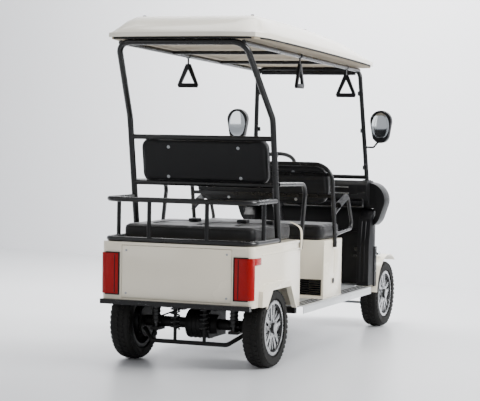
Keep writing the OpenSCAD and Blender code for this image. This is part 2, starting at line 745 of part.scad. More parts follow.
module front_cowl() color(white) place() difference() {
    cowl_form(0);
    cowl_form(panel_t);
    // Open behind, against the leg shield, and below for the axle and the frame.
    block([-cowl_wide + panel_t, cowl_wide - panel_t], [shield_y, shield_y + 30], [cowl_mid_z + panel_t,
        dash_top - 220]);
    block([-cowl_low_hw + panel_t, cowl_low_hw - panel_t], [shield_y, wheelbase + 100], [cowl_low_z - 10,
        cowl_low_z + 20]);
    block([-cowl_low_hw + panel_t, cowl_low_hw - panel_t], [shield_y, shield_y + 40], [cowl_low_z - 10,
        cowl_mid_z + 20]);
    both_sides() translate([lamp_x, wheelbase + 120, lamp_mid_z]) rotate([-90, 0, 0]) cylinder(h = 200,
        r = lamp_r + seam);
    side_prism(-brow_x - 1, brow_x + 1) brow_side(seam);
}

module headlamps() place() color("#d9dee0") both_sides()
    translate([lamp_x, wheelbase + 96, lamp_mid_z]) rotate([-90, 0, 0]) {
        cylinder(h = 116, r = lamp_r);
        translate([0, 0, 114 + seam]) cylinder(h = 10, r = lamp_r + 6);
    }

module front_fenders() color(white) place() both_sides() {
    translate([guard_x[0], wheelbase, axle_z]) rotate([90, 0, 90]) difference() {
        linear_extrude(guard_x[1] - guard_x[0]) difference() {
            circle(guard_in_r + guard_t);
            circle(guard_in_r);
            polygon([[0, 0], [300, 460], [520, 460], [520, -520], [-520, -520], [-520, 60]]);
        }
    }
    // Inner stay to the cowl and the stay to the bracket behind.
    block([cowl_low_hw + seam, guard_x[0] + 4], [wheelbase - 20, wheelbase + 20],
        [axle_z + guard_in_r - 2, axle_z + guard_in_r + 4]);
    block([wing_x[1] - 60, wing_x[1] - 40], [shield_y + 12 + seam, wheelbase - 220], [axle_z + 195,
        axle_z + 200]);
}

module mirrors() color(black) place() both_sides() {
    centre = [558, wheelbase - 424, 1500];
    foot = pillar_at(1350);
    translate(centre) rotate([90, 0, 0]) linear_extrude(46, center = true) hull() {
        translate([0, 40]) circle(78);
        translate([0, -56]) circle(62);
    }
    bent_tube([[foot[0] + pillar_r + 3 * seam, foot[1], foot[2]], [foot[0] + 70, foot[1] - 10, foot[2]],
        [centre[0] - 12, centre[1], centre[2] - 100]], 7, 22);
}

// ---------------------------------------------------------------- front axle and steering

function column_at(s) = hand_centre + column_dir * s;

module upright_at(side) translate([side * kingpin_x, wheelbase, axle_z]) children();

module front_axle() color(black) place() {
    difference() {
        union() {
            bar([-kingpin_x + 30, wheelbase, axle_z + 4], [kingpin_x - 30, wheelbase, axle_z + 4], 22);
            both_sides() {
                translate([kingpin_x, wheelbase, axle_z - yoke_h / 2]) cylinder(h = yoke_h, r = pin_r + 11);
                block([kingpin_x - 44, kingpin_x], [wheelbase - 15, wheelbase + 15], [axle_z - 26,
                    axle_z + 30]);
                block([front_rail_x + 24, front_rail_x + 80], [wheelbase - 28, wheelbase + 28],
                    [axle_z + 14, axle_z + 26 - seam]);
                // Leading links hold the beam to the frame.
                bar([front_rail_x + 10, wheelbase, axle_z],
                    [front_rail_x - 4, shield_y + 108, front_rail_top - rail_h - 26], 11);
                block([front_rail_x - 18, front_rail_x + 10], [shield_y + 92, shield_y + 124],
                    [front_rail_top - rail_h - 40, front_rail_top - rail_h - seam]);
            }
        }
        both_sides() translate([kingpin_x, wheelbase, axle_z - yoke_h]) cylinder(h = 2 * yoke_h, r =
            pin_r + run_fit);
    }
}

// Knuckle: kingpin, fork round the axle's boss, stub for the wheel and the steering arm.
module knuckle(side) color(steel) place() upright_at(side) mirror([side < 0 ? 1 : 0, 0, 0]) {
    fork_z = yoke_h / 2 + 0.4;
    cheek = 10;
    cylinder(h = 2 * (fork_z + cheek), r = pin_r, center = true);
    for (s = [-1, 1]) translate([0, 0, s * (fork_z + cheek / 2)]) {
        cylinder(h = cheek, r = pin_r + 9, center = true);
        translate([18, 0, 0]) cube([36, 2 * pin_r + 10, cheek], center = true);
    }
    block([pin_r + 13, pin_r + 25], [-pin_r - 5, pin_r + 5], [-fork_z - cheek, fork_z + cheek]);
    stub(pin_r + 20, front_track / 2 - kingpin_x + 30);
    // Arm to the tie rod.
    difference() {
        union() {
            block([-9, 9], [-steer_arm, -pin_r + 2], [-fork_z - cheek, -fork_z]);
            translate([0, -steer_arm, -fork_z - cheek]) cylinder(h = cheek, r = 14);
        }
        translate([0, -steer_arm, -fork_z - 2 * cheek]) cylinder(h = 4 * cheek, r = 6 + run_fit);
    }
}

module knuckle_left() knuckle(-1);
module knuckle_right() knuckle(1);

module tie_rod() color(steel) place() {
    z = axle_z - yoke_h / 2 - 0.4 - 10;
    y = wheelbase - steer_arm;
    bar([-kingpin_x, y, z - 13], [kingpin_x, y, z - 13], 9);
    both_sides() translate([kingpin_x, y, 0]) {
        translate([0, 0, z - 24]) cylinder(h = 24 - 0.4, r = 13);
        translate([0, 0, z - 10]) cylinder(h = 24, r = 6);
    }
}

module steering_column() color(black) place() {
    foot = column_at((floor_z + 30 - hand_centre[2]) / cos(column_lean));
    difference() {
    union() {
        bar(column_at(-60), foot, 24);
        bar(column_at(-150), column_at(-330), 42);
        translate([foot[0], foot[1], floor_z + seam]) cylinder(h = 60, r = 34);
    }
    bar(column_at(-50), column_at(-240), shaft_r + run_fit);
    }
}

module steering_wheel() color(black) place() translate(hand_centre) rotate([column_lean, 0, 0]) {
    rotate_extrude($fn = 96) translate([hand_wheel_d / 2, 0]) circle(14);
    translate([0, 0, -54]) cylinder(h = 44, r = 34);
    for (a = [90, 210, 330]) rotate([0, 0, a])
        bar([26, 0, -26], [hand_wheel_d / 2, 0, 0], 9);
    translate([0, 0, -230]) cylinder(h = 180, r = shaft_r);
}

module pedals() color(black) place() for (x = [-45, 60]) {
    foot = [x, shield_y - 8, floor_z + 190];
    tip = [x, shield_y - 96, floor_z + 60];
    bar([x, shield_y - 7, foot[2] + 6], tip, 8);
    translate(tip) rotate([58, 0, 0]) translate([-32, -42, -2]) cube([64, 84, 9]);
}

// ---------------------------------------------------------------- wheels

module tyre_at(side, y, track) color(soft) place() translate([side * track / 2, y, axle_z]) rotate([0, 90,
    0])
    rotate_extrude($fn = 96) difference() {
        union() {
            translate([bead_r + 2, -tyre_w / 2 + 12]) square([tyre_r - bead_r - 20, tyre_w - 24]);
            translate([bead_r + 30, -tyre_w / 2]) square([tyre_r - bead_r - 48, tyre_w]);
            translate([tyre_r - 18, -tyre_w / 2 + 18]) square([18, tyre_w - 36]);
            for (s = [-1, 1]) translate([tyre_r - 18, s * (tyre_w / 2 - 18)]) circle(18);
        }
        translate([0, -tyre_w]) square([bead_r + 2 + seam, 2 * tyre_w]);
    }

// Wheel rim. The near face points along +X before it is mirrored to its side.
module rim_at(side, y, track, drum) color(alloy) place() translate([side * track / 2, y, axle_z])
    mirror([side < 0 ? 1 : 0, 0, 0]) rotate([0, 90, 0]) {
        face = tyre_w / 2 - 24;
        flange_x = tyre_w / 2 - 12 + seam;
        difference() {
            rotate_extrude($fn = 96) union() {
                translate([bead_r - 6, -flange_x - 6]) square([8, 2 * flange_x + 12]);
                translate([bead_r - 6, flange_x]) square([rim_r - bead_r + 6, 6]);
                translate([bead_r - 6, -flange_x - 6]) square([rim_r - bead_r + 6, 6]);
                translate([0, face - 8]) square([bead_r - 2, 16]);
                translate([0, face - 40]) square([46, 44]);
                translate([0, face]) square([34, 28]);
            }
            // Wide windows between the pairs and a slot inside each pair.
            for (i = [0:spoke_pairs - 1]) rotate([0, 0, i * 360 / spoke_pairs]) {
                translate([0, 0, face - 20]) linear_extrude(60)
                    polygon([[62, -8], [bead_r - 14, -52], [bead_r - 8, 0], [bead_r - 14, 52], [62, 8],
                        [56, 0]]);
                rotate([0, 0, 180 / spoke_pairs]) translate([0, 0, face - 20]) linear_extrude(60)
                    polygon([[78, -7], [bead_r - 14, -13], [bead_r - 14, 13], [78, 7]]);
            }
            translate([0, 0, -tyre_w]) cylinder(h = tyre_w + 30 + 0.5, d = stub_d + 2 * run_fit);
        }
        if (drum) difference() {
            translate([0, 0, -tyre_w / 2 + 2]) cylinder(h = face - 6 + tyre_w / 2 - 2, r = 96);
            translate([0, 0, -tyre_w]) cylinder(h = tyre_w + 30 + 0.5, d = stub_d + 2 * run_fit);
            translate([0, 0, -tyre_w]) cylinder(h = tyre_w / 2 + 2 + 30, r = 84);
        }
    }

module tyre_rear_left() tyre_at(-1, 0, rear_track);
module tyre_rear_right() tyre_at(1, 0, rear_track);
module tyre_front_left() tyre_at(-1, wheelbase, front_track);
module tyre_front_right() tyre_at(1, wheelbase, front_track);
module rim_rear_left() rim_at(-1, 0, rear_track, true);
module rim_rear_right() rim_at(1, 0, rear_track, true);
module rim_front_left() rim_at(-1, wheelbase, front_track, false);
module rim_front_right() rim_at(1, wheelbase, front_track, false);

chassis_frame();
rear_axle();
shock_absorbers();
rear_bumper();
rear_tub();
tail_panel();
tail_lamps();
wheel_liners();
floor_deck();
front_seat_box();
box_grille();
battery_pack();
rear_cushion();
rear_backrest();
rear_fence();
rear_armrests();
roof_frame();
front_cushion();
front_seat_hoop();
front_backrest();
windscreen();
roof_shell();
roof_liner();
grab_handles();
dashboard();
leg_shield();
front_cowl();
headlamps();
front_fenders();
mirrors();
front_axle();
steering_column();
pedals();
steering_wheel();
knuckle_left();
knuckle_right();
tie_rod();
tyre_rear_left();
tyre_rear_right();
tyre_front_left();
tyre_front_right();
rim_rear_left();
rim_rear_right();
rim_front_left();
rim_front_right();
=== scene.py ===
import json
import math
import bpy
from mathutils import Matrix, Vector

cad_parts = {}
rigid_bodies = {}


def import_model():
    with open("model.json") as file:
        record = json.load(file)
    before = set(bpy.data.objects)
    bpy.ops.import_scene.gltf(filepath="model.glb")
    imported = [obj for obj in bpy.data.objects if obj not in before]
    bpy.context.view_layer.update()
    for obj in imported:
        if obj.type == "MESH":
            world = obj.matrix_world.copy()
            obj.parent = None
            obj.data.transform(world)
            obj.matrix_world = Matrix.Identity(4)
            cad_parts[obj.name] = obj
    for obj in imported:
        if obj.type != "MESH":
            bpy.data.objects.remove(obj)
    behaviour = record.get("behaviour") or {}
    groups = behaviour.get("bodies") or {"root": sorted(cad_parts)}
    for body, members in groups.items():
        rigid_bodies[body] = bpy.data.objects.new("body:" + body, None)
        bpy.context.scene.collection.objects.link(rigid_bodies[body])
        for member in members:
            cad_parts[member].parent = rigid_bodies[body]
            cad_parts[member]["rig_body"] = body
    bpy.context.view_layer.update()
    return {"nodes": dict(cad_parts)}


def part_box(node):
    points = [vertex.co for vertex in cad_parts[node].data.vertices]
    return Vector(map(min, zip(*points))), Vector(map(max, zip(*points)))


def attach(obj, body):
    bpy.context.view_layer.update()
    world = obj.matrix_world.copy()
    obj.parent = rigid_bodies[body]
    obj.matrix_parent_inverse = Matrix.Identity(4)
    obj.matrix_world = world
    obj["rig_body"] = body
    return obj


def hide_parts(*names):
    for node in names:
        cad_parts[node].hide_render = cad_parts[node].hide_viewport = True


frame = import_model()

nodes = frame["nodes"]

# ---- Studio: a pale sealed-concrete floor that meets a white wall behind the cart.
# The wall is painted plaster, seen only from its front, so other views look through its back.
# The main light is a broad soft box on the cart's right, with weaker fill from the rear.


def linear(hex_colour):
    """An sRGB hex colour as the linear colour that a shader socket takes."""
    parts = [int(hex_colour[i:i + 2], 16) / 255 for i in (1, 3, 5)]
    return tuple(p / 12.92 if p <= 0.04045 else ((p + 0.055) / 1.055) ** 2.4 for p in parts) + (1.0,)


def add_node(material, kind, values=None, links=None, **settings):
    """Adds one shader node: its settings, its socket values and the outputs linked into it."""
    node = material.node_tree.nodes.new(kind)
    for field, value in settings.items():
        setattr(node, field, value)
    for socket, value in (values or {}).items():
        node.inputs[socket].default_value = value
    for socket, source in (links or {}).items():
        material.node_tree.links.new(source, node.inputs[socket])
    return node


def finish(name, colour, roughness, metallic=0.0, tone=None, patch=0.3, grain=0.002, relief=0.0, wear=0.06):
    """A surface whose colour drifts towards tone in patches, with a fine relief; sizes in metres."""
    material = bpy.data.materials.new(name)
    material.use_nodes = True
    shader = material.node_tree.nodes["Principled BSDF"]
    shader.inputs["Metallic"].default_value = metallic
    place = add_node(material, "ShaderNodeTexCoord").outputs["Object"]
    drift = add_node(material, "ShaderNodeTexNoise", {"Scale": 1 / patch, "Detail": 5.0, "Roughness": 0.6},
                     {"Vector": place})
    blend = add_node(material, "ShaderNodeMix", links={"Factor": drift.outputs["Fac"]}, data_type="RGBA")
    blend.inputs["A"].default_value = linear(colour)
    blend.inputs["B"].default_value = linear(tone or colour)
    material.node_tree.links.new(blend.outputs["Result"], shader.inputs["Base Color"])
    scuff = add_node(material, "ShaderNodeMapRange", {"To Min": max(0.02, roughness - wear),
                     "To Max": min(1.0, roughness + wear)}, {"Value": drift.outputs["Fac"]})
    material.node_tree.links.new(scuff.outputs["Result"], shader.inputs["Roughness"])
    if relief:
        fine = add_node(material, "ShaderNodeTexNoise", {"Scale": 1 / grain, "Detail": 2.0},
                        {"Vector": place})
        bump = add_node(material, "ShaderNodeBump", {"Strength": 0.6, "Distance": relief},
                        {"Height": fine.outputs["Fac"]})
        material.node_tree.links.new(bump.outputs["Normal"], shader.inputs["Normal"])
    return material


def put_finish(piece, material):
    """Gives every face of a piece one material."""
    for slot in piece.material_slots:
        slot.material = material
    if not piece.material_slots:
        piece.data.materials.append(material)


def clear_selection():
    """Leaves nothing selected, so that an operator acts only on what comes next."""
    bpy.ops.object.select_all(action="DESELECT")


def pick(piece):
    """Makes one piece the only one that operators act on."""
    clear_selection()
    piece.select_set(True)
    bpy.context.view_layer.objects.active = piece


def surface(material):
    """A material's main shader."""
    return material.node_tree.nodes["Principled BSDF"]


concrete = finish("sealed_concrete", "#cfd0d2", 0.34, tone="#dcdddf", patch=1.4, grain=0.02, relief=0.0006,
                  wear=0.1)
clear_selection()
bpy.ops.mesh.primitive_plane_add(size=80, location=(0, 0, 0))
floor = bpy.context.object
floor.name = "studio_floor"
put_finish(floor, concrete)

wall_left, wall_right, wall_height = Vector((-9.0, 7.766, 0)), Vector((1.6, 4.04, 0)), 9.0
plaster = finish("painted_plaster", "#f4f4f6", 0.9, tone="#ecedf0", patch=2.0)
back_of_wall = add_node(plaster, "ShaderNodeNewGeometry").outputs["Backfacing"]
see_through = add_node(plaster, "ShaderNodeBsdfTransparent")
one_sided = add_node(plaster, "ShaderNodeMixShader", links={"Fac": back_of_wall,
                     1: surface(plaster).outputs["BSDF"], 2: see_through.outputs["BSDF"]})
plaster.node_tree.links.new(one_sided.outputs["Shader"],
                            plaster.node_tree.nodes["Material Output"].inputs["Surface"])
clear_selection()
run = wall_right - wall_left
bpy.ops.mesh.primitive_plane_add(size=1,
                                 location=(wall_left + wall_right) / 2 + Vector((0, 0, wall_height / 2)),
                                 rotation=(math.pi / 2, 0, math.atan2(run.y, run.x)))
wall = bpy.context.object
wall.name = "studio_wall"
wall.scale = (run.length, wall_height, 1)
put_finish(wall, plaster)

world = bpy.data.worlds.new("studio_air")
bpy.context.scene.world = world
world.use_nodes = True
world.node_tree.nodes["Background"].inputs["Color"].default_value = linear("#f2f4f8")
world.node_tree.nodes["Background"].inputs["Strength"].default_value = 0.72


def soft_box(name, place, aim, size, power):
    """A square area light that faces a point."""
    lamp = bpy.data.lights.new(name, "AREA")
    lamp.shape, lamp.size, lamp.energy = "SQUARE", size, power
    holder = bpy.data.objects.new(name, lamp)
    bpy.context.scene.collection.objects.link(holder)
    holder.location = place
    holder.rotation_euler = (Vector(aim) - Vector(place)).to_track_quat("-Z", "Y").to_euler()


soft_box("key_box", (7.0, -0.6, 4.2), (0, 0, 0.9), 3.6, 900)
soft_box("top_box", (0.5, 0.5, 6.5), (0, 0, 0), 5.0, 300)
soft_box("rear_box", (-4.5, -7.5, 3.2), (0, 0, 0.8), 3.5, 60)
soft_box("wall_box", (-1.5, 1.0, 5.5), (-3.0, 5.6, 1.5), 3.5, 900)

camera_place = Vector((3.961, -10.712, 1.468))
turn, dip, roll = 0.3705, 0.0433, 0.0171
ahead = Vector((-math.sin(turn) * math.cos(dip), math.cos(turn) * math.cos(dip), -math.sin(dip)))
across = Vector((math.cos(turn), math.sin(turn), 0))
above = across.cross(ahead)
frame_x = math.cos(roll) * across + math.sin(roll) * above
frame_y = math.cos(roll) * above - math.sin(roll) * across
lens_data = bpy.data.cameras.new("studio_camera")
lens_data.sensor_width, lens_data.lens = 36, 123.94
camera = bpy.data.objects.new("studio_camera", lens_data)
camera.matrix_world = Matrix.Translation(camera_place) @ Matrix((frame_x, frame_y,
                                                                 -ahead)).transposed().to_4x4()
bpy.context.scene.collection.objects.link(camera)
bpy.context.scene.camera = camera

# ---- Frame tubes, bumper and chassis: welded round steel tube with a semi-gloss black powder coat.
# The coat gives broad soft highlights with a slight orange peel, and dust dulls it low down.
powder_coat = finish("black_powder_coat", "#050506", 0.28, tone="#0a0a0b", patch=0.25, grain=0.004,
                     relief=0.0002)
surface(powder_coat).inputs["Coat Weight"].default_value = 0.35
surface(powder_coat).inputs["Coat Roughness"].default_value = 0.18
chassis_paint = finish("dusty_chassis_paint", "#0a0a0b", 0.5, tone="#1a1917", patch=0.12, grain=0.006,
                       relief=0.0004)
for name in ("roof_frame", "rear_fence", "rear_armrests", "front_seat_hoop", "rear_bumper"):
    put_finish(nodes[name], powder_coat)
for name in ("chassis_frame", "rear_axle", "front_axle", "wheel_liners"):
    put_finish(nodes[name], chassis_paint)

# ---- Body panels: pressed steel and moulded panels in gloss ivory-white enamel.
# Their edges are folded over a small radius, which catches a thin highlight all round.
ivory = finish("ivory_enamel", "#e8e0cd", 0.26, tone="#e2d9c4", patch=0.6, grain=0.003, relief=0.00012,
               wear=0.05)
enamel = (ivory, "body_white")
surface(ivory).inputs["Coat Weight"].default_value = 0.5
surface(ivory).inputs["Coat Roughness"].default_value = 0.08


def apply_all(piece):
    """Applies a piece's modifiers in order and its place, so that it rests at the origin."""
    pick(piece)
    for modifier in [m.name for m in piece.modifiers]:
        bpy.ops.object.modifier_apply(modifier=modifier)
    bpy.ops.object.transform_apply(location=True, rotation=True, scale=True)


def twin(node, edge, material, slot, segments=2, limit=32):
    """A copy of a hard panel with its doubles merged and its sharp edges rolled to a radius."""
    piece = nodes[node].copy()
    piece.data = nodes[node].data.copy()
    piece.parent = None
    for key in list(piece.keys()):
        del piece[key]
    piece.name = node + "_panel"
    bpy.context.scene.collection.objects.link(piece)
    pick(piece)
    bpy.ops.object.mode_set(mode="EDIT")
    bpy.ops.mesh.select_all(action="SELECT")
    bpy.ops.mesh.remove_doubles(threshold=0.00002)
    bpy.ops.mesh.dissolve_limited(angle_limit=math.radians(0.5))
    bpy.ops.object.mode_set(mode="OBJECT")
    if edge:
        roll_edge = piece.modifiers.new("folded_edge", "BEVEL")
        roll_edge.width, roll_edge.segments = edge, segments
        roll_edge.limit_method, roll_edge.angle_limit = "ANGLE", math.radians(limit)
    apply_all(piece)
    pick(piece)
    bpy.ops.object.shade_smooth_by_angle(angle=math.radians(38))
    put_finish(piece, material)
    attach(piece, nodes[node]["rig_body"])
    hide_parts(node)
    return piece


def trim(name, low, high, material, slot, body="cart", edge=0.002, segments=2):
    """A flat or square trim piece between two corners, with its edges broken."""
    clear_selection()
    low, high = Vector(low), Vector(high)
    bpy.ops.mesh.primitive_cube_add(size=1, location=(low + high) / 2)
    piece = bpy.context.object
    piece.name = name
    piece.scale = high - low
    bpy.ops.object.transform_apply(location=True, rotation=True, scale=True)
    chamfer = piece.modifiers.new("broken_edge", "BEVEL")
    chamfer.width, chamfer.segments = min(edge, min(high - low) * 0.45), segments
    apply_all(piece)
    bpy.ops.object.shade_smooth_by_angle(angle=math.radians(40))
    put_finish(piece, material)
    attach(piece, body)
    return piece


def turned_cap(name, centre, axis, radius, height, material, slot, body="cart", sides=24, edge=0.25):
    """A round head, button or cap on an axis, with its outer edge rolled."""
    clear_selection()
    bpy.ops.mesh.primitive_cylinder_add(vertices=sides, radius=radius, depth=height)
    piece = bpy.context.object
    piece.name = name
    bpy.ops.object.mode_set(mode="EDIT")
    bpy.ops.mesh.select_all(action="DESELECT")
    bpy.ops.object.mode_set(mode="OBJECT")
    for face in piece.data.polygons:
        face.select = face.normal.z > 0.9
    bpy.ops.object.mode_set(mode="EDIT")
    bpy.ops.mesh.select_mode(type="FACE")
    bpy.ops.mesh.bevel(offset=min(radius, height) * edge, segments=3)
    bpy.ops.object.mode_set(mode="OBJECT")
    axis = Vector(axis).normalized()
    piece.matrix_world = (Matrix.Translation(Vector(centre) + axis * height / 2)
                          @ axis.to_track_quat("Z", "Y").to_matrix().to_4x4())
    apply_all(piece)
    bpy.ops.object.shade_smooth_by_angle(angle=math.radians(50))
    put_finish(piece, material)
    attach(piece, body)
    return piece


def join_all(name, pieces):
    """Makes one piece of several like ones that ride together."""
    clear_selection()
    for piece in pieces:
        piece.select_set(True)
    bpy.context.view_layer.objects.active = pieces[0]
    bpy.ops.object.join()
    pieces[0].name = name
    return pieces[0]


def bundle(name, pieces, material, slot):
    """One piece on the cart made of several bars, all in one material."""
    for piece in pieces:
        put_finish(piece, material)
        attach(piece, "cart")
    join_all(name, pieces)


for name, edge in (("rear_tub", 0.0035), ("front_seat_box", 0.0035), ("tail_panel", 0.003),
                   ("front_fenders", 0.0018), ("front_cowl", 0.0035)):
    twin(name, edge, *enamel)

tub_low, tub_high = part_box("rear_tub")
deck_z, body_x = tub_high.z, 0.5

# Deck edge: a folded rim round the deck, and a pressed crease along each side of the tub.
crease_z, crease_proud = 0.705, 0.003
for side in (-1, 1):
    x0, x1 = sorted((side * (body_x - 0.004), side * (body_x + crease_proud)))
    trim(f"side_crease_{'left' if side < 0 else 'right'}", (x0, -1.42, crease_z),
         (x1, -0.726, crease_z + 0.012), *enamel, edge=0.0028, segments=3)
    trim(f"deck_rim_{'left' if side < 0 else 'right'}", (x0, -1.516, deck_z - 0.016),
         (x1, -0.723, deck_z - 0.001), *enamel, edge=0.003, segments=3)
trim("deck_rim_rear", (-0.452, tub_low.y - 0.003, deck_z - 0.016),
     (0.452, tub_low.y + 0.004, deck_z - 0.001), *enamel, edge=0.003, segments=3)

# Tail panel: a flat door held by four bright screws, with a dark gap round it.
zinc = finish("zinc_plated_steel", "#a9acae", 0.34, metallic=1.0, tone="#8d9092", patch=0.02)
steel = (zinc, "bare_steel")
panel_low, panel_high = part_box("tail_panel")
screws = [turned_cap("panel_screw", (x, panel_low.y, z), (0, -1, 0), 0.0065, 0.003, *steel)
          for x in (panel_low.x + 0.03, panel_high.x - 0.03)
          for z in (panel_low.z + 0.03, panel_high.z - 0.03)]
join_all("tail_panel_screws", screws)

# ---- Tail lamps: moulded red acrylic over a black housing, wrapped round each rear corner.
# The lens is a deep even red with a soft gloss, and fine ribs across it break up the highlights.
lens = finish("red_acrylic_lens", "#860002", 0.25, tone="#9a0004", patch=0.08)
lens_shader = surface(lens)
lens_shader.inputs["Specular IOR Level"].default_value = 0.2
ribs = add_node(lens, "ShaderNodeTexWave", {"Scale": 60.0, "Distortion": 0.0},
                {"Vector": add_node(lens, "ShaderNodeTexCoord").outputs["Object"]}, bands_direction="Z")
rib_bump = add_node(lens, "ShaderNodeBump", {"Strength": 0.35, "Distance": 0.0012},
                    {"Height": ribs.outputs["Fac"]})
lens.node_tree.links.new(rib_bump.outputs["Normal"], lens_shader.inputs["Normal"])
twin("tail_lamps", 0.004, lens, "lens_red", segments=3)
satin_black = finish("satin_black_plastic", "#08080a", 0.40, tone="#0e0e10", patch=0.1, grain=0.0012,
                     relief=0.00015)
dark = (satin_black, "moulded_black")
lamp_low, lamp_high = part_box("tail_lamps")
lamp_face = lamp_low.y
bezels = []
for side in (-1, 1):
    for x0, x1, z0, z1 in ((0.375, 0.382, 0.440, 0.703), (0.375, 0.470, 0.697, 0.703),
                           (0.375, 0.470, 0.440, 0.446), (0.404, 0.409, 0.452, 0.690)):
        low_x, high_x = sorted((side * x0, side * x1))
        bezels.append(trim("bezel", (low_x, lamp_face - 0.002, z0), (high_x, lamp_face + 0.008, z1), *dark,
                           edge=0.0015))
join_all("tail_lamp_bezels", bezels)

# ---- Tyres: moulded black rubber with a knobbly all-terrain tread cut into blocks.
# Matt, a little grey with dust on the crown; the side wall carries fine moulded rings.
tyre_rubber = finish("moulded_tyre_rubber", "#0b0b0c", 0.72, tone="#1b1a17", patch=0.05, grain=0.003,
                     relief=0.0003)
from_hub = add_node(tyre_rubber, "ShaderNodeTexCoord").outputs["Object"]
rings = add_node(tyre_rubber, "ShaderNodeTexWave", {"Scale": 40.0}, {"Vector": from_hub},
                 bands_direction="X")
ring_bump = add_node(tyre_rubber, "ShaderNodeBump", {"Strength": 0.25, "Distance": 0.0008},
                     {"Height": rings.outputs["Fac"]})
tyre_rubber.node_tree.links.new(ring_bump.outputs["Normal"], surface(tyre_rubber).inputs["Normal"])
block_count = 44


def select_faces(piece, wanted):
    """Selects just the faces for which wanted(face) is true, in edit mode."""
    bpy.ops.object.mode_set(mode="EDIT")
    bpy.ops.mesh.select_mode(type="FACE")
    bpy.ops.mesh.select_all(action="DESELECT")
    bpy.ops.object.mode_set(mode="OBJECT")
    for face in piece.data.polygons:
        face.select = wanted(face)
    bpy.ops.object.mode_set(mode="EDIT")


def spin_copies(piece, count, centre, axis):
    """Repeats a whole mesh evenly round an axis."""
    pick(piece)
    bpy.ops.object.mode_set(mode="EDIT")
    bpy.ops.mesh.select_all(action="SELECT")
    bpy.ops.mesh.spin(steps=count - 1, dupli=True, angle=2 * math.pi * (count - 1) / count, center=centre,
                      axis=axis)
    bpy.ops.object.mode_set(mode="OBJECT")


for end in ("rear", "front"):
    for side in ("left", "right"):
        node = f"tyre_{end}_{side}"
        low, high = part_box(node)
        hub, reach, half = (low + high) / 2, (high.z - low.z) / 2, (high.x - low.x) / 2
        # Carcass a little smaller than the solid, with the tread blocks out to its full size.
        carcass = twin(node, 0, tyre_rubber, "tyre_rubber")
        carcass.data.transform(Matrix.Translation(hub) @ Matrix.Diagonal((0.985, 0.976, 0.976, 1))
                               @ Matrix.Translation(-hub))
        blocks = []
        rows = ((-0.80, 0.30, 0.0, 9), (-0.27, 0.34, 0.5, 16), (0.27, 0.34, 0.0, -16),
                (0.80, 0.30, 0.5, -9))
        for place, width, shift, slant in rows:
            clear_selection()
            pitch = 2 * math.pi * reach / block_count
            bpy.ops.mesh.primitive_cube_add(size=1)
            block = bpy.context.object
            block.scale = (width * half, pitch * 0.62, 0.030)
            bpy.ops.object.transform_apply(location=False, rotation=False, scale=True)
            select_faces(block, lambda face: face.normal.z > 0.9)
            bpy.ops.mesh.inset(thickness=0.0018)
            bpy.ops.transform.resize(value=(0.96, 0.9, 1.0))
            bpy.ops.object.mode_set(mode="OBJECT")
            outer = abs(place) > 0.5
            lean = math.radians(24) * (1 if place > 0 else -1) if outer else 0
            drop = 0.0105 if outer else 0.0
            block.matrix_world = (Matrix.Translation((hub.x + place * half, hub.y, hub.z))
                                  @ Matrix.Rotation(shift * 2 * math.pi / block_count, 4, "X")
                                  @ Matrix.Translation((0, 0, reach - 0.0155 - drop))
                                  @ Matrix.Rotation(lean, 4, "Y") @ Matrix.Rotation(math.radians(slant), 4,
                                                                                    "Z"))
            apply_all(block)
            spin_copies(block, block_count, hub, (1, 0, 0))
            blocks.append(block)
        tread = join_all(f"tread_{end}_{side}", blocks)
        put_finish(tread, tyre_rubber)
        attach(tread, f"wheel_{end}_{side}")

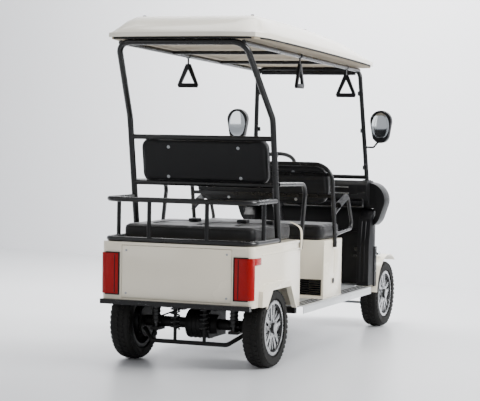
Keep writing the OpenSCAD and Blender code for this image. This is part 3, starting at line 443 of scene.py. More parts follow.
# ---- Rims: cast aluminium wheels, faces machined and lacquered, pockets painted black.
# The spokes are bright silver; everything behind the face plane is satin black paint.
bright = finish("machined_aluminium", "#bfc0c1", 0.27, metallic=1.0, tone="#a6a7a9", patch=0.03,
                grain=0.0015, relief=0.0001)
pocket = finish("black_pocket_paint", "#060607", 0.45, tone="#0c0c0c", patch=0.05)
hub_gold = finish("satin_gold_hub", "#a89a78", 0.35, metallic=1.0, tone="#8d8062", patch=0.02)
for end in ("rear", "front"):
    for side, sign in (("left", -1), ("right", 1)):
        node, body = f"rim_{end}_{side}", f"wheel_{end}_{side}"
        rim = twin(node, 0.0014, bright, "alloy", segments=2, limit=40)
        rim.data.materials.append(pocket)
        low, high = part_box(node)
        hub = (low + high) / 2
        outer_x = max(abs(low.x), abs(high.x))
        lip_in = 0.152
        for face in rim.data.polygons:
            away = math.hypot(face.center.y - hub.y, face.center.z - hub.z)
            on_face = sign * face.normal.x > 0.3 and abs(face.center.x) > outer_x - 0.034
            on_lip = away > lip_in and abs(face.center.x) > outer_x - 0.03
            face.material_index = 0 if on_face or on_lip else 1
        # Spoke faces stand up from the web in pairs, each a tapered bar with rolled edges.
        spokes = []
        for half_turn in (-1, 1):
            clear_selection()
            bpy.ops.mesh.primitive_cube_add(size=1)
            spoke = bpy.context.object
            spoke.scale = (0.010, 0.016, 0.108)
            bpy.ops.object.transform_apply(location=False, rotation=False, scale=True)
            select_faces(spoke, lambda face: face.normal.z > 0.9)
            bpy.ops.transform.resize(value=(1.0, 1.6, 1.0))
            bpy.ops.object.mode_set(mode="OBJECT")
            rolled = spoke.modifiers.new("rolled", "BEVEL")
            rolled.width, rolled.segments = 0.003, 2
            spoke.matrix_world = (Matrix.Translation((sign * (outer_x - 0.0295), hub.y, hub.z))
                                  @ Matrix.Rotation(math.radians(36 + 10.5 * half_turn), 4, "X")
                                  @ Matrix.Translation((0, 0, 0.092)))
            apply_all(spoke)
            spin_copies(spoke, 5, hub, (1, 0, 0))
            spokes.append(spoke)
        spoke_set = join_all(f"spokes_{end}_{side}", spokes)
        bpy.ops.object.shade_smooth_by_angle(angle=math.radians(40))
        put_finish(spoke_set, bright)
        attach(spoke_set, body)
        # Hub cap with a stepped crown, and the ring of wheel nuts.
        turned_cap(f"hub_cap_{end}_{side}", (sign * (outer_x - 0.010), hub.y, hub.z), (sign, 0, 0), 0.030,
                   0.0095, hub_gold, "alloy", body, sides=32, edge=0.5)
        nut = turned_cap("wheel_nut", (sign * (outer_x - 0.026), hub.y, hub.z + 0.047), (sign, 0, 0), 0.009,
                         0.011, *steel, body, sides=6, edge=0.3)
        nut.parent = None
        spin_copies(nut, 5, hub, (1, 0, 0))
        nut.name = f"wheel_nuts_{end}_{side}"
        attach(nut, body)

# ---- Cushions and backrests: foam pads in black grained vinyl, sewn from a top and side panels.
# The vinyl has a soft sheen and fine leather grain; welted seams run round the edges.
vinyl = finish("black_grained_vinyl", "#09090a", 0.42, tone="#101012", patch=0.2)
vinyl_shader = surface(vinyl)
vinyl_shader.inputs["Sheen Weight"].default_value = 0.15
vinyl_place = add_node(vinyl, "ShaderNodeTexCoord").outputs["Object"]
hide = add_node(vinyl, "ShaderNodeTexVoronoi", {"Scale": 420.0}, {"Vector": vinyl_place},
                feature="DISTANCE_TO_EDGE")
hide_bump = add_node(vinyl, "ShaderNodeBump", {"Strength": 0.4, "Distance": 0.0006},
                     {"Height": hide.outputs["Distance"]})
vinyl.node_tree.links.new(hide_bump.outputs["Normal"], vinyl_shader.inputs["Normal"])


def stuffed(name, size, corner, swell, voxel, channels=()):
    """A foam pad lying flat on the origin: a rounded block blown up as cloth, then sewn down.

    channels are (axis, place) lines along which the cover is pulled in by its stitching.
    """
    clear_selection()
    bpy.ops.mesh.primitive_cube_add(size=1)
    pad = bpy.context.object
    pad.name = name
    pad.scale = [side - 2 * swell * 0.55 for side in size]
    bpy.ops.object.transform_apply(location=False, rotation=False, scale=True)
    bpy.ops.object.mode_set(mode="EDIT")
    bpy.ops.mesh.select_mode(type="EDGE")
    bpy.ops.mesh.select_all(action="DESELECT")
    bpy.ops.object.mode_set(mode="OBJECT")
    for edge in pad.data.edges:
        a, b = (pad.data.vertices[i].co for i in edge.vertices)
        edge.select = abs(a.z - b.z) > 0.01
    bpy.ops.object.mode_set(mode="EDIT")
    bpy.ops.mesh.bevel(offset=corner, segments=6)
    bpy.ops.mesh.select_all(action="DESELECT")
    bpy.ops.object.mode_set(mode="OBJECT")
    soft_edge = pad.modifiers.new("soft_edge", "BEVEL")
    soft_edge.width, soft_edge.segments, soft_edge.limit_method = min(size) * 0.16, 3, "ANGLE"
    remesh = pad.modifiers.new("fine_skin", "REMESH")
    remesh.mode, remesh.voxel_size = "VOXEL", voxel
    apply_all(pad)
    before = [v.co.copy() for v in pad.data.vertices]
    cloth = pad.modifiers.new("cover", "CLOTH")
    cloth.settings.use_pressure = True
    cloth.settings.uniform_pressure_force = 4.0
    cloth.settings.effector_weights.gravity = 0
    cloth.settings.quality = 3
    cloth.point_cache.frame_start, cloth.point_cache.frame_end = 1, 14
    for step in range(1, 15):
        bpy.context.scene.frame_set(step)
    apply_all(pad)
    for vertex, start in zip(pad.data.vertices, before):
        moved = vertex.co - start
        if moved.length > swell:
            vertex.co = start + moved.normalized() * swell
    bpy.context.scene.frame_set(1)
    half = Vector(size) / 2
    for vertex in pad.data.vertices:
        point = vertex.co
        for axis in (0, 1, 2):
            point[axis] = max(-half[axis], min(half[axis], point[axis]))
        for axis, place in channels:
            gap = abs(point[axis] - place)
            if gap < 0.020:
                point.z -= math.copysign(0.0075 * (1 - gap / 0.020) ** 2, point.z)
    smooth = pad.modifiers.new("even", "SMOOTH")
    smooth.factor, smooth.iterations = 0.5, 3
    fine = pad.modifiers.new("fine", "SUBSURF")
    fine.levels = fine.render_levels = 1
    apply_all(pad)
    reach = [max(abs(v.co[axis]) for v in pad.data.vertices) for axis in (0, 1, 2)]
    pad.data.transform(Matrix.Diagonal([half[axis] / reach[axis] for axis in (0, 1, 2)] + [1]))
    bpy.ops.object.shade_smooth()
    put_finish(pad, vinyl)
    return pad


def welt(name, size, corner, height, radius, steps=8):
    """A closed piping line round a pad at one height, with the pad's rounded corners."""
    x, y = size[0] / 2 - radius * 0.4, size[1] / 2 - radius * 0.4
    points = []
    for cx, cy, start in ((x - corner, y - corner, 0), (-x + corner, y - corner, 90),
                          (-x + corner, -y + corner, 180), (x - corner, -y + corner, 270)):
        for step in range(steps + 1):
            turn = math.radians(start + 90 * step / steps)
            points.append((cx + corner * math.cos(turn), cy + corner * math.sin(turn), height))
    return tube(name, points, radius, closed=True)


def tube(name, points, radius, closed=False, ring=3, smooth_path=False):
    """A round bar or piping along a path of points, as a mesh."""
    path = bpy.data.curves.new(name, "CURVE")
    path.dimensions = "3D"
    path.bevel_depth, path.bevel_resolution, path.use_fill_caps = radius, ring, True
    line = path.splines.new("NURBS" if smooth_path else "POLY")
    line.points.add(len(points) - 1)
    for point, place in zip(line.points, points):
        point.co = (*place, 1)
    line.use_cyclic_u = closed
    if smooth_path:
        line.use_endpoint_u, line.order_u = True, 3
    bar = bpy.data.objects.new(name, path)
    bpy.context.scene.collection.objects.link(bar)
    pick(bar)
    bpy.ops.object.convert(target="MESH")
    bar = bpy.context.object
    bpy.ops.object.mode_set(mode="EDIT")
    bpy.ops.mesh.select_all(action="SELECT")
    bpy.ops.mesh.remove_doubles(threshold=0.00002)
    bpy.ops.mesh.normals_make_consistent(inside=False)
    bpy.ops.object.mode_set(mode="OBJECT")
    bpy.ops.object.shade_smooth_by_angle(angle=math.radians(50))
    return bar


def fit_pad(pad, parts, place, node):
    """Sets a flat-built pad and its sewn parts in their place on the cart."""
    for piece in [pad] + parts:
        piece.data.transform(place)
        put_finish(piece, vinyl)
        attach(piece, "cart")
    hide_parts(node)


for node, lines in (("rear_cushion", ((0, 0.0),)), ("front_cushion", ((0, 0.0),))):
    low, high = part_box(node)
    size = high - low
    pad = stuffed(node.replace("cushion", "seat_pad"), size, 0.045, 0.014, 0.011, lines)
    piping = [welt(f"{node}_welt_{n}", size - Vector((0.008, 0.008, 0)), 0.045, z, 0.0035)
              for n, z in (("top", size.z / 2 - 0.017), ("foot", -size.z / 2 + 0.014))]
    fit_pad(pad, piping, Matrix.Translation((low + high) / 2), node)


def lean_frame(node, lean):
    """Where a pad stands that leans back by lean degrees, and its size along its own axes."""
    turn = Matrix.Rotation(math.radians(90 + lean), 4, "X")
    back = turn.inverted()
    corners = [back @ v.co for v in nodes[node].data.vertices]
    low = Vector([min(c[i] for c in corners) for i in range(3)])
    high = Vector([max(c[i] for c in corners) for i in range(3)])
    return turn @ Matrix.Translation((low + high) / 2), high - low


for node, lean, corner, lines in (("rear_backrest", 10, 0.055, ()),
                                  ("front_backrest", 11, 0.095, ((1, 0.03),))):
    place, size = lean_frame(node, lean)
    pad = stuffed(node.replace("backrest", "back_pad"), size, corner, 0.012, 0.010, lines)
    piping = [welt(f"{node}_welt_{n}", size - Vector((0.008, 0.008, 0)), corner, z, 0.003)
              for n, z in (("front", size.z / 2 - 0.014), ("rear", -size.z / 2 + 0.012))]
    # Button screws through the plywood back: bright pan heads on the rear face.
    heads = []
    spots = ((-0.235, 0.09), (0.235, 0.09), (-0.245, -0.10), (0.245, -0.10))
    for x, y in spots:
        head = turned_cap("pad_screw", (x, y, size.z / 2 - 0.0035), (0, 0, 1), 0.011, 0.0045, *steel,
                          edge=0.5)
        head.parent = None
        heads.append(head)
    screw_set = join_all(node + "_screws", heads)
    fit_pad(pad, piping, place, node)
    screw_set.data.transform(place)
    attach(screw_set, "cart")

# ---- Roof: one gel-coated moulding with a turned-down lip and a chamfered, nearly flat crown.
# The gel coat is glossy ivory; a black rubber edging and dark bolts finish it.
gel_coat = finish("ivory_gel_coat", "#ece6d8", 0.24, tone="#e4ddcc", patch=0.5, grain=0.004, relief=0.00015)
surface(gel_coat).inputs["Coat Weight"].default_value = 0.4
twin("roof_shell", 0, gel_coat, "roof_white")
# Roof liner: the roof's cream underside darkened to tan, which is painted shade under the roof and not the
# liner's own colour.
shaded_liner_finish = finish("roof_liner_painted_shade", "#a89c88", 0.9, tone="#998d79", patch=0.1, grain=0.002, relief=0.0003)
put_finish(nodes["roof_liner"], shaded_liner_finish)
roof_low, roof_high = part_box("roof_shell")
roof_points = [v.co for v in nodes["roof_shell"].data.vertices]


def lip_foot(y_place):
    """The lower, widest point of the roof's lip near a station along the cart."""
    near = [p for p in roof_points if abs(p.y - y_place) < 0.09 and p.x > 0.38]
    widest = max(p.x for p in near)
    return min((p for p in near if p.x > widest - 0.002), key=lambda p: p.z)


# Extruded rubber edging, matt black, pushed over the lip's lower edge all round.
rubber = finish("extruded_rubber", "#0a0a0b", 0.6, tone="#121213", patch=0.05, grain=0.002, relief=0.0002)
edge_r, edge_sink, end_bow = 0.0055, 0.003, 0.04
stations = [roof_low.y + 0.10 + (roof_high.y - roof_low.y - 0.20) * n / 10 for n in range(11)]
right_run = [lip_foot(y) for y in stations]
outline = [(mirror * (p.x - edge_sink), p.y, p.z - edge_sink)
           for run_points, mirror in ((right_run, 1), (right_run[::-1], -1)) for p in run_points]
front_z, rear_z = right_run[-1].z, right_run[0].z
end_xs = (0.44, 0.30, 0.0, -0.30, -0.44)
front_nose = [(x, roof_high.y - 0.006 - end_bow * abs(x / 0.49) ** 4, front_z - 0.004) for x in end_xs]
rear_tail = [(x, roof_low.y + 0.006 + end_bow * abs(x / 0.49) ** 4, rear_z - 0.004) for x in end_xs[::-1]]
edging = tube("roof_edging", outline[:11] + front_nose + outline[11:] + rear_tail, edge_r, closed=True)
put_finish(edging, rubber)
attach(edging, "cart")

# Roof bolts: black dome heads, in a row along each side of the crown.
bolts = []
for y in (roof_low.y + 0.30, (roof_low.y + roof_high.y) / 2, roof_high.y - 0.55):
    for x in (-0.36, 0.36):
        crown = max((p for p in roof_points if abs(p.y - y) < 0.07 and abs(p.x - x) < 0.06),
                    key=lambda p: p.z)
        bolts.append(turned_cap("roof_bolt", (x, y, crown.z - 0.002), (0, 0, 1), 0.011, 0.009, *dark,
                                edge=0.5))
join_all("roof_bolts", bolts)

# Header across the windscreen's top: a black folded strip.
screen_low, screen_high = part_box("windscreen")
trim("windscreen_header", (-0.365, screen_low.y - 0.030, screen_high.z - 0.006),
     (0.365, screen_low.y - 0.012, screen_high.z + 0.030), powder_coat, "frame_black", edge=0.004)

# ---- Hanging handles: moulded black triangles, each on a webbing loop round the roof rail.
# The moulding is satin black and finely grained, so its edges show as soft grey lines.
handle_black = finish("moulded_handle_black", "#08080a", 0.38, tone="#0d0d0f", patch=0.05, grain=0.001,
                      relief=0.0001)
twin("grab_handles", 0.0028, handle_black, "moulded_black", segments=3, limit=30)

# ---- Windscreen: clear laminated sheet clamped to its frame by black clips with bright screws.
# It is almost unseen: mirror smooth, faintly tinted, and so thin that it hardly bends the light.
glass = finish("laminated_glass", "#eef4f3", 0.03, tone="#eef4f3")
glass_shader = surface(glass)
glass_shader.inputs["Transmission Weight"].default_value = 1.0
glass_shader.inputs["IOR"].default_value = 1.12
glass_shader.inputs["Alpha"].default_value = 0.25
put_finish(nodes["windscreen"], glass)
clips = []
for sides, z in (((-1, 1), 1.20), ((-1, 1), 1.47), ((-1, 1), 1.74), ((0,), 1.16)):
    k = (z - screen_low.z) / (screen_high.z - screen_low.z)
    y = screen_high.y + (screen_low.y - screen_high.y) * k
    x = 0.425 - 0.042 * k
    for side in sides:
        clips.append(trim("clip", (side * x - 0.014, y - 0.020, z - 0.016),
                          (side * x + 0.014, y + 0.006, z + 0.016), *dark, edge=0.004))
        clips.append(turned_cap("clip_screw", (side * x, y + 0.005, z), (0, 1, 0), 0.005, 0.003, *steel))
join_all("windscreen_clips", clips)

# ---- Mirrors: egg-shaped black shells on bent stalks, with a silvered glass facing the driver.
# The glass bulges slightly and throws back the pale room.
mirror_glass = finish("silvered_glass", "#d9dde0", 0.04, metallic=1.0, tone="#c7ccd0")
mirror_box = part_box("mirrors")
twin("mirrors", 0.014, *dark, segments=4, limit=50)
faces = []
for side in (-1, 1):
    clear_selection()
    bpy.ops.mesh.primitive_uv_sphere_add(segments=32, ring_count=16, radius=1)
    face = bpy.context.object
    face.name = "mirror_face"
    face.matrix_world = (Matrix.Translation((side * 0.558, mirror_box[0].y + 0.0025, 1.506))
                         @ Matrix.Diagonal((0.071, 0.0065, 0.103, 1)))
    apply_all(face)
    bpy.ops.object.shade_smooth()
    put_finish(face, mirror_glass)
    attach(face, "cart")
    faces.append(face)
join_all("mirror_faces", faces)

# ---- Dashboard: a large satin-black moulding whose ends curl down like ears, with a knee panel.
# Bright trim strips, a gauge hood and switches sit on it; the knee panel is glossier.
dash_black = finish("grained_dash_moulding", "#060607", 0.44, tone="#0a0a0b", patch=0.2, grain=0.0012,
                    relief=0.0002)
twin("dashboard", 0.012, dash_black, "moulded_black", segments=4, limit=30)
dash_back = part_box("dashboard")[0].y
silver_trim = finish("satin_chrome_strip", "#c9ccce", 0.2, metallic=1.0, tone="#b6b9bb")
strips = []
for x0, x1, z in ((0.165, 0.335, 1.058), (0.166, 0.224, 1.036), (0.165, 0.340, 1.014),
                  (-0.335, -0.235, 1.058)):
    strips.append(trim("strip", (x0, dash_back - 0.004, z - 0.0045), (x1, dash_back + 0.010, z + 0.0045),
                       silver_trim, "bare_steel", edge=0.0015))
join_all("dash_trim_strips", strips)
gloss_black = finish("gloss_black_panel", "#0a0a0b", 0.10, tone="#0f0f10", patch=0.3)
trim("knee_panel", (-0.44, dash_back + 0.036, 0.905), (0.44, dash_back + 0.075, 0.985), gloss_black,
     "moulded_black", edge=0.014, segments=4)
trim("glove_box_lid", (0.09, dash_back - 0.0015, 1.004), (0.40, dash_back + 0.008, 1.070), dash_black,
     "moulded_black", edge=0.004, segments=3)
gauge_axis = (0, -1, 0.35)
turned_cap("gauge_hood", (-0.13, dash_back + 0.012, 1.043), gauge_axis, 0.042, 0.030, *dark, sides=40,
           edge=0.35)
turned_cap("gauge_glass", (-0.13, dash_back - 0.015, 1.053), gauge_axis, 0.034, 0.0025, gloss_black,
           "moulded_black", sides=40)
switches = []
for n in range(4):
    x = -0.02 + n * 0.028
    switches.append(trim("switch", (x, dash_back - 0.007, 1.030), (x + 0.019, dash_back + 0.004, 1.058),
                         *dark, edge=0.003))
join_all("dash_switches", switches)

# ---- Leg shield: a black moulded bulkhead with two upright pleats on each wing.
# The recessed footwell wall has a round cap and a slot; a bracket outside carries the mudguard.
twin("leg_shield", 0.006, *dark, segments=3, limit=30)
shield_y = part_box("leg_shield")[0].y
pleats = []
for side in (-1, 1):
    for x in (0.432, 0.462):
        pleats.append(tube("pleat", [(side * x, shield_y + 0.002, 0.37), (side * x, shield_y + 0.002, 0.62),
                                     (side * x, shield_y + 0.034, 0.80),
                                     (side * x, shield_y + 0.085, 0.868)], 0.006))
bundle("shield_pleats", pleats, *dark)
wall_y = 0.954
turned_cap("footwell_cap", (0.36, wall_y, 0.60), (0, -1, 0), 0.020, 0.014, gloss_black, "moulded_black",
           sides=32, edge=0.4)
trim("footwell_slot", (0.335, wall_y - 0.004, 0.545), (0.385, wall_y + 0.002, 0.556), gloss_black,
     "moulded_black")
ledge = [trim("shelf", (0.02, wall_y - 0.055, 0.726), (0.40, wall_y + 0.002, 0.738), *dark, edge=0.004),
         trim("shelf", (-0.40, wall_y - 0.055, 0.726), (-0.22, wall_y + 0.002, 0.738), *dark, edge=0.004)]
join_all("footwell_ledge", ledge)
bracket_bolts = [turned_cap("bracket_bolt", (side * 0.5058, wall_y + 0.004, z), (side, 0, 0), 0.008, 0.006,
                            *steel, sides=6, edge=0.3) for side in (-1, 1) for z in (0.44, 0.56)]
join_all("bracket_bolts", bracket_bolts)

# ---- Nose and headlamps: round bright lamps in the ivory nose, with upright ribs over the dish.
# Aluminised dishes and chromed rims are mirror bright; the turn lamps are amber acrylic.
reflector = finish("aluminised_reflector", "#dfe2e4", 0.12, metallic=1.0, tone="#cfd3d6")
chrome_ring = finish("chromed_bezel", "#d5d8da", 0.08, metallic=1.0, tone="#c6c9cc")
put_finish(nodes["headlamps"], chrome_ring)
lamp_low, lamp_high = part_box("headlamps")
lens_parts, dishes = [], []
for side in (-1, 1):
    x, z = side * (lamp_high.x - 0.068), (lamp_low.z + lamp_high.z) / 2
    dishes.append(turned_cap("dish", (x, lamp_high.y - 0.004, z), (0, 1, 0), 0.057, 0.0035, reflector,
                             "lamp_clear", sides=48, edge=0.4))
    for n in range(5):
        rib_x = x - 0.036 + n * 0.018
        tall = math.sqrt(max(0.0, 0.05 ** 2 - (rib_x - x) ** 2))
        lens_parts.append(tube("lens_rib",
                               [(rib_x, lamp_high.y - 0.002, z - tall),
                                (rib_x, lamp_high.y - 0.002, z + tall)],
                               0.0012))
bundle("headlamp_ribs", lens_parts, chrome_ring, "lamp_clear")
join_all("headlamp_dishes", dishes)
amber = finish("amber_acrylic_lens", "#d9780c", 0.12, tone="#e08a1a")
winkers = [trim("winker", (min(side * 0.225, side * 0.262), 1.355, 0.628),
                (max(side * 0.225, side * 0.262), 1.395, 0.66),
                amber, "lens_red", edge=0.006, segments=3) for side in (-1, 1)]
join_all("turn_lamps", winkers)
slats = [trim("slat", (-0.085, 1.486, z), (0.085, 1.501, z + 0.010), *dark, edge=0.003)
         for z in (0.625, 0.643, 0.661, 0.679)]
join_all("nose_slats", slats)
# Mudguard markers: a small bright lamp on top of each guard, behind the wheel's crown.
markers = []
for side in (-1, 1):
    markers.append(turned_cap("marker", (side * 0.455, 1.186, 0.5475), (side * 0.1, -0.25, 1), 0.019, 0.022,
                              chrome_ring, "lamp_clear", sides=32, edge=0.6))
join_all("guard_markers", markers)

# ---- Floor: aluminium tread plate with a raised bar pattern, and a folded, beaded outer lip.
# Mill finish, slightly dull, with the bars in relief; black grit strips give grip on the step.
tread_plate = finish("aluminium_tread_plate", "#e2e4e5", 0.34, metallic=0.75, tone="#cfd1d2", patch=0.1)
plate_place = add_node(tread_plate, "ShaderNodeTexCoord").outputs["Object"]
bar_pitch = 0.028
diamond = []
for angle, offset in ((45, 0.0), (-45, 0.5)):
    turned = add_node(tread_plate, "ShaderNodeMapping", {"Rotation": (0, 0, math.radians(angle)),
                      "Scale": (1 / bar_pitch, 0.5 / bar_pitch, 1), "Location": (offset, offset, 0)},
                      {"Vector": plate_place})
    cells = add_node(tread_plate, "ShaderNodeTexVoronoi", {"Scale": 1.0, "Randomness": 0.0},
                     {"Vector": turned.outputs["Vector"]}, voronoi_dimensions="2D")
    diamond.append(add_node(tread_plate, "ShaderNodeMath", {1: 0.30}, {0: cells.outputs["Distance"]},
                            operation="LESS_THAN"))
bars = add_node(tread_plate, "ShaderNodeMath", links={0: diamond[0].outputs[0], 1: diamond[1].outputs[0]},
                operation="MAXIMUM")
bar_bump = add_node(tread_plate, "ShaderNodeBump", {"Strength": 1.0, "Distance": 0.0025},
                    {"Height": bars.outputs[0]})
tread_plate.node_tree.links.new(bar_bump.outputs["Normal"], surface(tread_plate).inputs["Normal"])
twin("floor_deck", 0.0015, tread_plate, "chequer_plate")
floor_low, floor_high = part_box("floor_deck")
grit = finish("black_grit_tape", "#161617", 0.85, tone="#232323", patch=0.02, grain=0.0012, relief=0.0005)
tapes, beads, bead_pitch = [], [], 0.024
for side in (-1, 1):
    for n in range(3):
        x = side * (0.505 - 0.030 * n)
        x0, x1 = sorted((x, x - side * 0.016))
        for y0, y1 in ((-0.69, -0.26), (0.19, 0.75)):
            tapes.append(trim("tape", (x0, y0, floor_high.z - 0.0005), (x1, y1, floor_high.z + 0.0022),
                              grit, "moulded_black", edge=0.0008))
    clear_selection()
    bpy.ops.mesh.primitive_uv_sphere_add(segments=8, ring_count=5, radius=0.0055)
    bead = bpy.context.object
    bead.scale = (0.45, 1.5, 1.0)
    bead.location = (side * (floor_high.x - 0.0005), floor_low.y + 0.02, floor_high.z - 0.018)
    apply_all(bead)
    repeat = bead.modifiers.new("repeat", "ARRAY")
    repeat.use_relative_offset, repeat.use_constant_offset = False, True
    repeat.constant_offset_displace = (0, bead_pitch, 0)
    repeat.count = int((floor_high.y - 0.19 - floor_low.y) / bead_pitch)
    apply_all(bead)
    put_finish(bead, tread_plate)
    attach(bead, "cart")
    beads.append(bead)
join_all("step_grit_tapes", tapes)
join_all("step_lip_beads", beads)

# ---- Seat box fittings: a louvre, cable ports in rings, and the raised rims of lid and door.
# The louvre and rings are satin black plastic; the rims are in the body's ivory enamel.
put_finish(nodes["box_grille"], satin_black)
put_finish(nodes["battery_pack"], finish("moulded_battery_case", "#1b1c1e", 0.5, tone="#242527", patch=0.1,
                                         grain=0.001, relief=0.0002))
box_low, box_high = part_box("front_seat_box")
ports, lids = [], []
for side in (-1, 1):
    ports.append(turned_cap("port_ring", (side * (box_high.x - 0.0005), -0.030, 0.448), (side, 0, 0),
                            0.0195, 0.004, *dark, sides=32, edge=0.4))
    x0, x1 = sorted((side * (box_high.x - 0.002), side * (box_high.x + 0.0025)))
    lids.append(trim("lid_rim", (x0, box_low.y + 0.006, box_high.z - 0.028),
                     (x1, box_high.y - 0.006, box_high.z - 0.004), *enamel, edge=0.002))
    lids.append(trim("door_rim", (x0, box_low.y + 0.22, 0.50), (x1, box_high.y - 0.025, 0.66), *enamel,
                     edge=0.002))
join_all("seat_box_ports", ports)
join_all("seat_box_lids", lids)

# ---- Coil springs: cold-wound steel coils in black enamel, round the dampers beside the drums.
# The enamel is glossier than the dusty chassis paint, so the coils catch thin highlights.
spring_black = finish("black_spring_enamel", "#0e0e0f", 0.34, tone="#1a1a1a", patch=0.03)
put_finish(nodes["shock_absorbers"], spring_black)
coils = []
steps_a_turn, steps_wound = 20, 130
for x, y, foot, rise, coil_r, wire_r in ((0.262, -1.256, 0.246, 0.148, 0.0245, 0.0050),
                                         (0.202, 1.278, 0.300, 0.140, 0.0245, 0.0050),
                                         (0.098, -1.336, 0.220, 0.180, 0.026, 0.0055)):
    for side in (-1, 1):
        wind = [(side * x + coil_r * math.cos(2 * math.pi * n / steps_a_turn),
                 y + coil_r * math.sin(2 * math.pi * n / steps_a_turn), foot + rise * n / steps_wound)
                for n in range(steps_wound + 1)]
        coils.append(tube("coil", wind, wire_r, ring=2))
bundle("spring_coils", coils, spring_black, "spring_steel")
# Axle fittings: brake cables and the gear casing's ribs, in the chassis paint.
cables, axle_y, axle_z, casing_r = [], -1.186, 0.247, 0.0895
for side in (-1, 1):
    cables.append(tube("brake_cable", [(side * 0.345, -1.15, 0.25), (side * 0.30, -1.02, 0.27),
                                       (side * 0.18, -0.92, 0.33),
                                       (side * 0.10, -0.80, 0.39)], 0.005, smooth_path=True))
for n in range(5):
    cables.append(tube("casing_rib", [(-0.048 + n * 0.030, axle_y + casing_r * math.cos(math.radians(a)),
                                       axle_z + casing_r * math.sin(math.radians(a)))
                                      for a in range(120, 300, 15)], 0.003))
bundle("axle_fittings", cables, chassis_paint, "running_gear")

# ---- Lap belts: flat woven black webbing lying over the rear seat, with buckles; one end hangs.
# Woven polyester is matt with a fine thread relief; the hanging end is cream.
webbing = finish("woven_black_webbing", "#0f0f10", 0.7, tone="#161616", patch=0.02, grain=0.0012,
                 relief=0.0004)
webbing_pale = finish("woven_cream_webbing", "#cfc7b3", 0.8, tone="#bfb6a0", patch=0.02, grain=0.0012,
                      relief=0.0004)
cushion_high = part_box("rear_cushion")[1]


def strap(name, points, width, thickness, across_axis, material):
    """Flat webbing along a path: a thin ribbon with its width along one axis, then thickened."""
    clear_selection()
    half_side = Vector(across_axis).normalized() * width / 2
    mesh = bpy.data.meshes.new(name)
    rows = [Vector(p) for p in points]
    mesh.from_pydata([tuple(p + s * half_side) for p in rows for s in (-1, 1)], [],
                     [(2 * i, 2 * i + 1, 2 * i + 3, 2 * i + 2) for i in range(len(rows) - 1)])
    ribbon = bpy.data.objects.new(name, mesh)
    bpy.context.scene.collection.objects.link(ribbon)
    smooth = ribbon.modifiers.new("smooth", "SUBSURF")
    smooth.levels = smooth.render_levels = 2
    wall = ribbon.modifiers.new("web", "SOLIDIFY")
    wall.thickness, wall.offset = thickness, 0
    apply_all(ribbon)
    bpy.ops.object.shade_smooth_by_angle(angle=math.radians(40))
    put_finish(ribbon, material)
    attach(ribbon, "cart")
    return ribbon


seat_top = cushion_high.z + 0.002
belts = []
for x, drift in ((-0.28, 0.10), (0.02, 0.13), (0.27, 0.06)):
    belts.append(strap("belt", [(x, -1.30, seat_top - 0.02), (x + 0.01, -1.28, seat_top + 0.006),
                                (x + 0.03, -1.22, seat_top + 0.004),
                                (x + drift * 0.6, -1.12, seat_top + 0.010),
                                (x + drift, -1.05, seat_top + 0.005),
                                (x + drift + 0.05, -1.00, seat_top + 0.008)], 0.046, 0.0022, (0.8, -0.5, 0),
                       webbing))
    buckle_x = x + drift + 0.055
    belts.append(trim("buckle", (buckle_x - 0.03, -1.02, seat_top - 0.001),
                      (buckle_x + 0.035, -0.955, seat_top + 0.022), *dark, edge=0.006, segments=3))
join_all("rear_lap_belts", belts)
strap("belt_end", [(0.440, -0.76, 0.880), (0.468, -0.745, 0.868), (0.508, -0.735, 0.845),
                   (0.5135, -0.735, 0.80),
                   (0.5135, -0.738, 0.745), (0.5125, -0.742, 0.700)], 0.034, 0.0024, (0, 1, 0),
      webbing_pale)

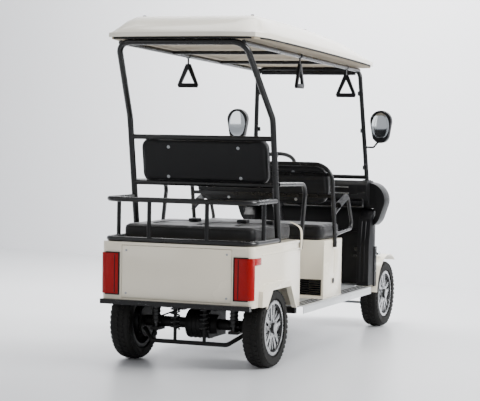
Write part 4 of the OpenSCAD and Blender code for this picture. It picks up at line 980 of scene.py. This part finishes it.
# ---- Armrest pads: ribbed grey rubber sleeves on the front seat's loops.
# The rubber is matt mid grey, and reads lighter than the black tube it covers.
sleeve_grey = finish("grey_rubber_sleeve", "#3a3b3d", 0.6, tone="#454648", patch=0.05, grain=0.001,
                     relief=0.0002)
rings_made = []
for side in (-1, 1):
    x = side * 0.5184
    start, stop = Vector((x, -0.005, 0.958)), Vector((x, 0.165, 1.012))
    for n in range(14):
        centre = start.lerp(stop, (n + 0.5) / 14)
        rings_made.append(turned_cap("sleeve_ring", centre, stop - start, 0.0228, 0.008, sleeve_grey,
                                     "moulded_black", sides=24, edge=0.3))
join_all("armrest_sleeves", rings_made)

# ---- Steering and pedals: a foamed rim with a fine grain, a horn pad, two stalks, two pedals.
# The rim is matt and the horn pad glossy; knuckles and tie rod are dull zinc-plated steel.
wheel_foam = finish("foamed_wheel_rim", "#121213", 0.5, tone="#19191a", patch=0.05, grain=0.0012,
                    relief=0.0003)
put_finish(nodes["steering_wheel"], wheel_foam)
put_finish(nodes["steering_column"], satin_black)
hand_hub, column_up = Vector((-0.130, 0.419, 1.208)), Vector((0, -0.5, 0.8660254))
turned_cap("horn_pad", hand_hub + column_up * -0.012, column_up, 0.040, 0.020, gloss_black, "moulded_black",
           "steering", sides=40, edge=0.5)
stalks = []
for side in (-1, 1):
    root = hand_hub + column_up * -0.19
    stalks.append(tube("stalk", [root + Vector((side * 0.03, 0, 0)),
                                 root + Vector((side * 0.10, -0.004, 0.016)),
                                 root + Vector((side * 0.155, -0.008, 0.034))], 0.006))
bundle("column_stalks", stalks, *dark)
twin("pedals", 0.003, *dark, segments=2, limit=40)
for name in ("knuckle_left", "knuckle_right", "tie_rod"):
    put_finish(nodes[name], zinc)

# ---- Tube flanges: round pressed feet under the windscreen pillars and the rear posts.
# They carry the same black powder coat as the tubes.
feet = []
for side in (-1, 1):
    feet.append(turned_cap("pillar_foot", (side * 0.440, 0.914, 1.1042), (0, 0, 1), 0.032, 0.006,
                           powder_coat, "frame_black", sides=32, edge=0.4))
    feet.append(turned_cap("post_foot", (side * 0.463, -1.086, deck_z + 0.0003), (0, 0, 1), 0.034, 0.005,
                           powder_coat, "frame_black", sides=32, edge=0.4))
join_all("tube_flanges", feet)

# ---- Black surfaces: road dust and age take the mirror gloss off them all.
# They keep a soft highlight only, so the tubes and mouldings read as near black.
for material in (powder_coat, chassis_paint, rubber, satin_black, tyre_rubber, vinyl, dash_black,
                 handle_black):
    surface(material).inputs["Specular IOR Level"].default_value = 0.22
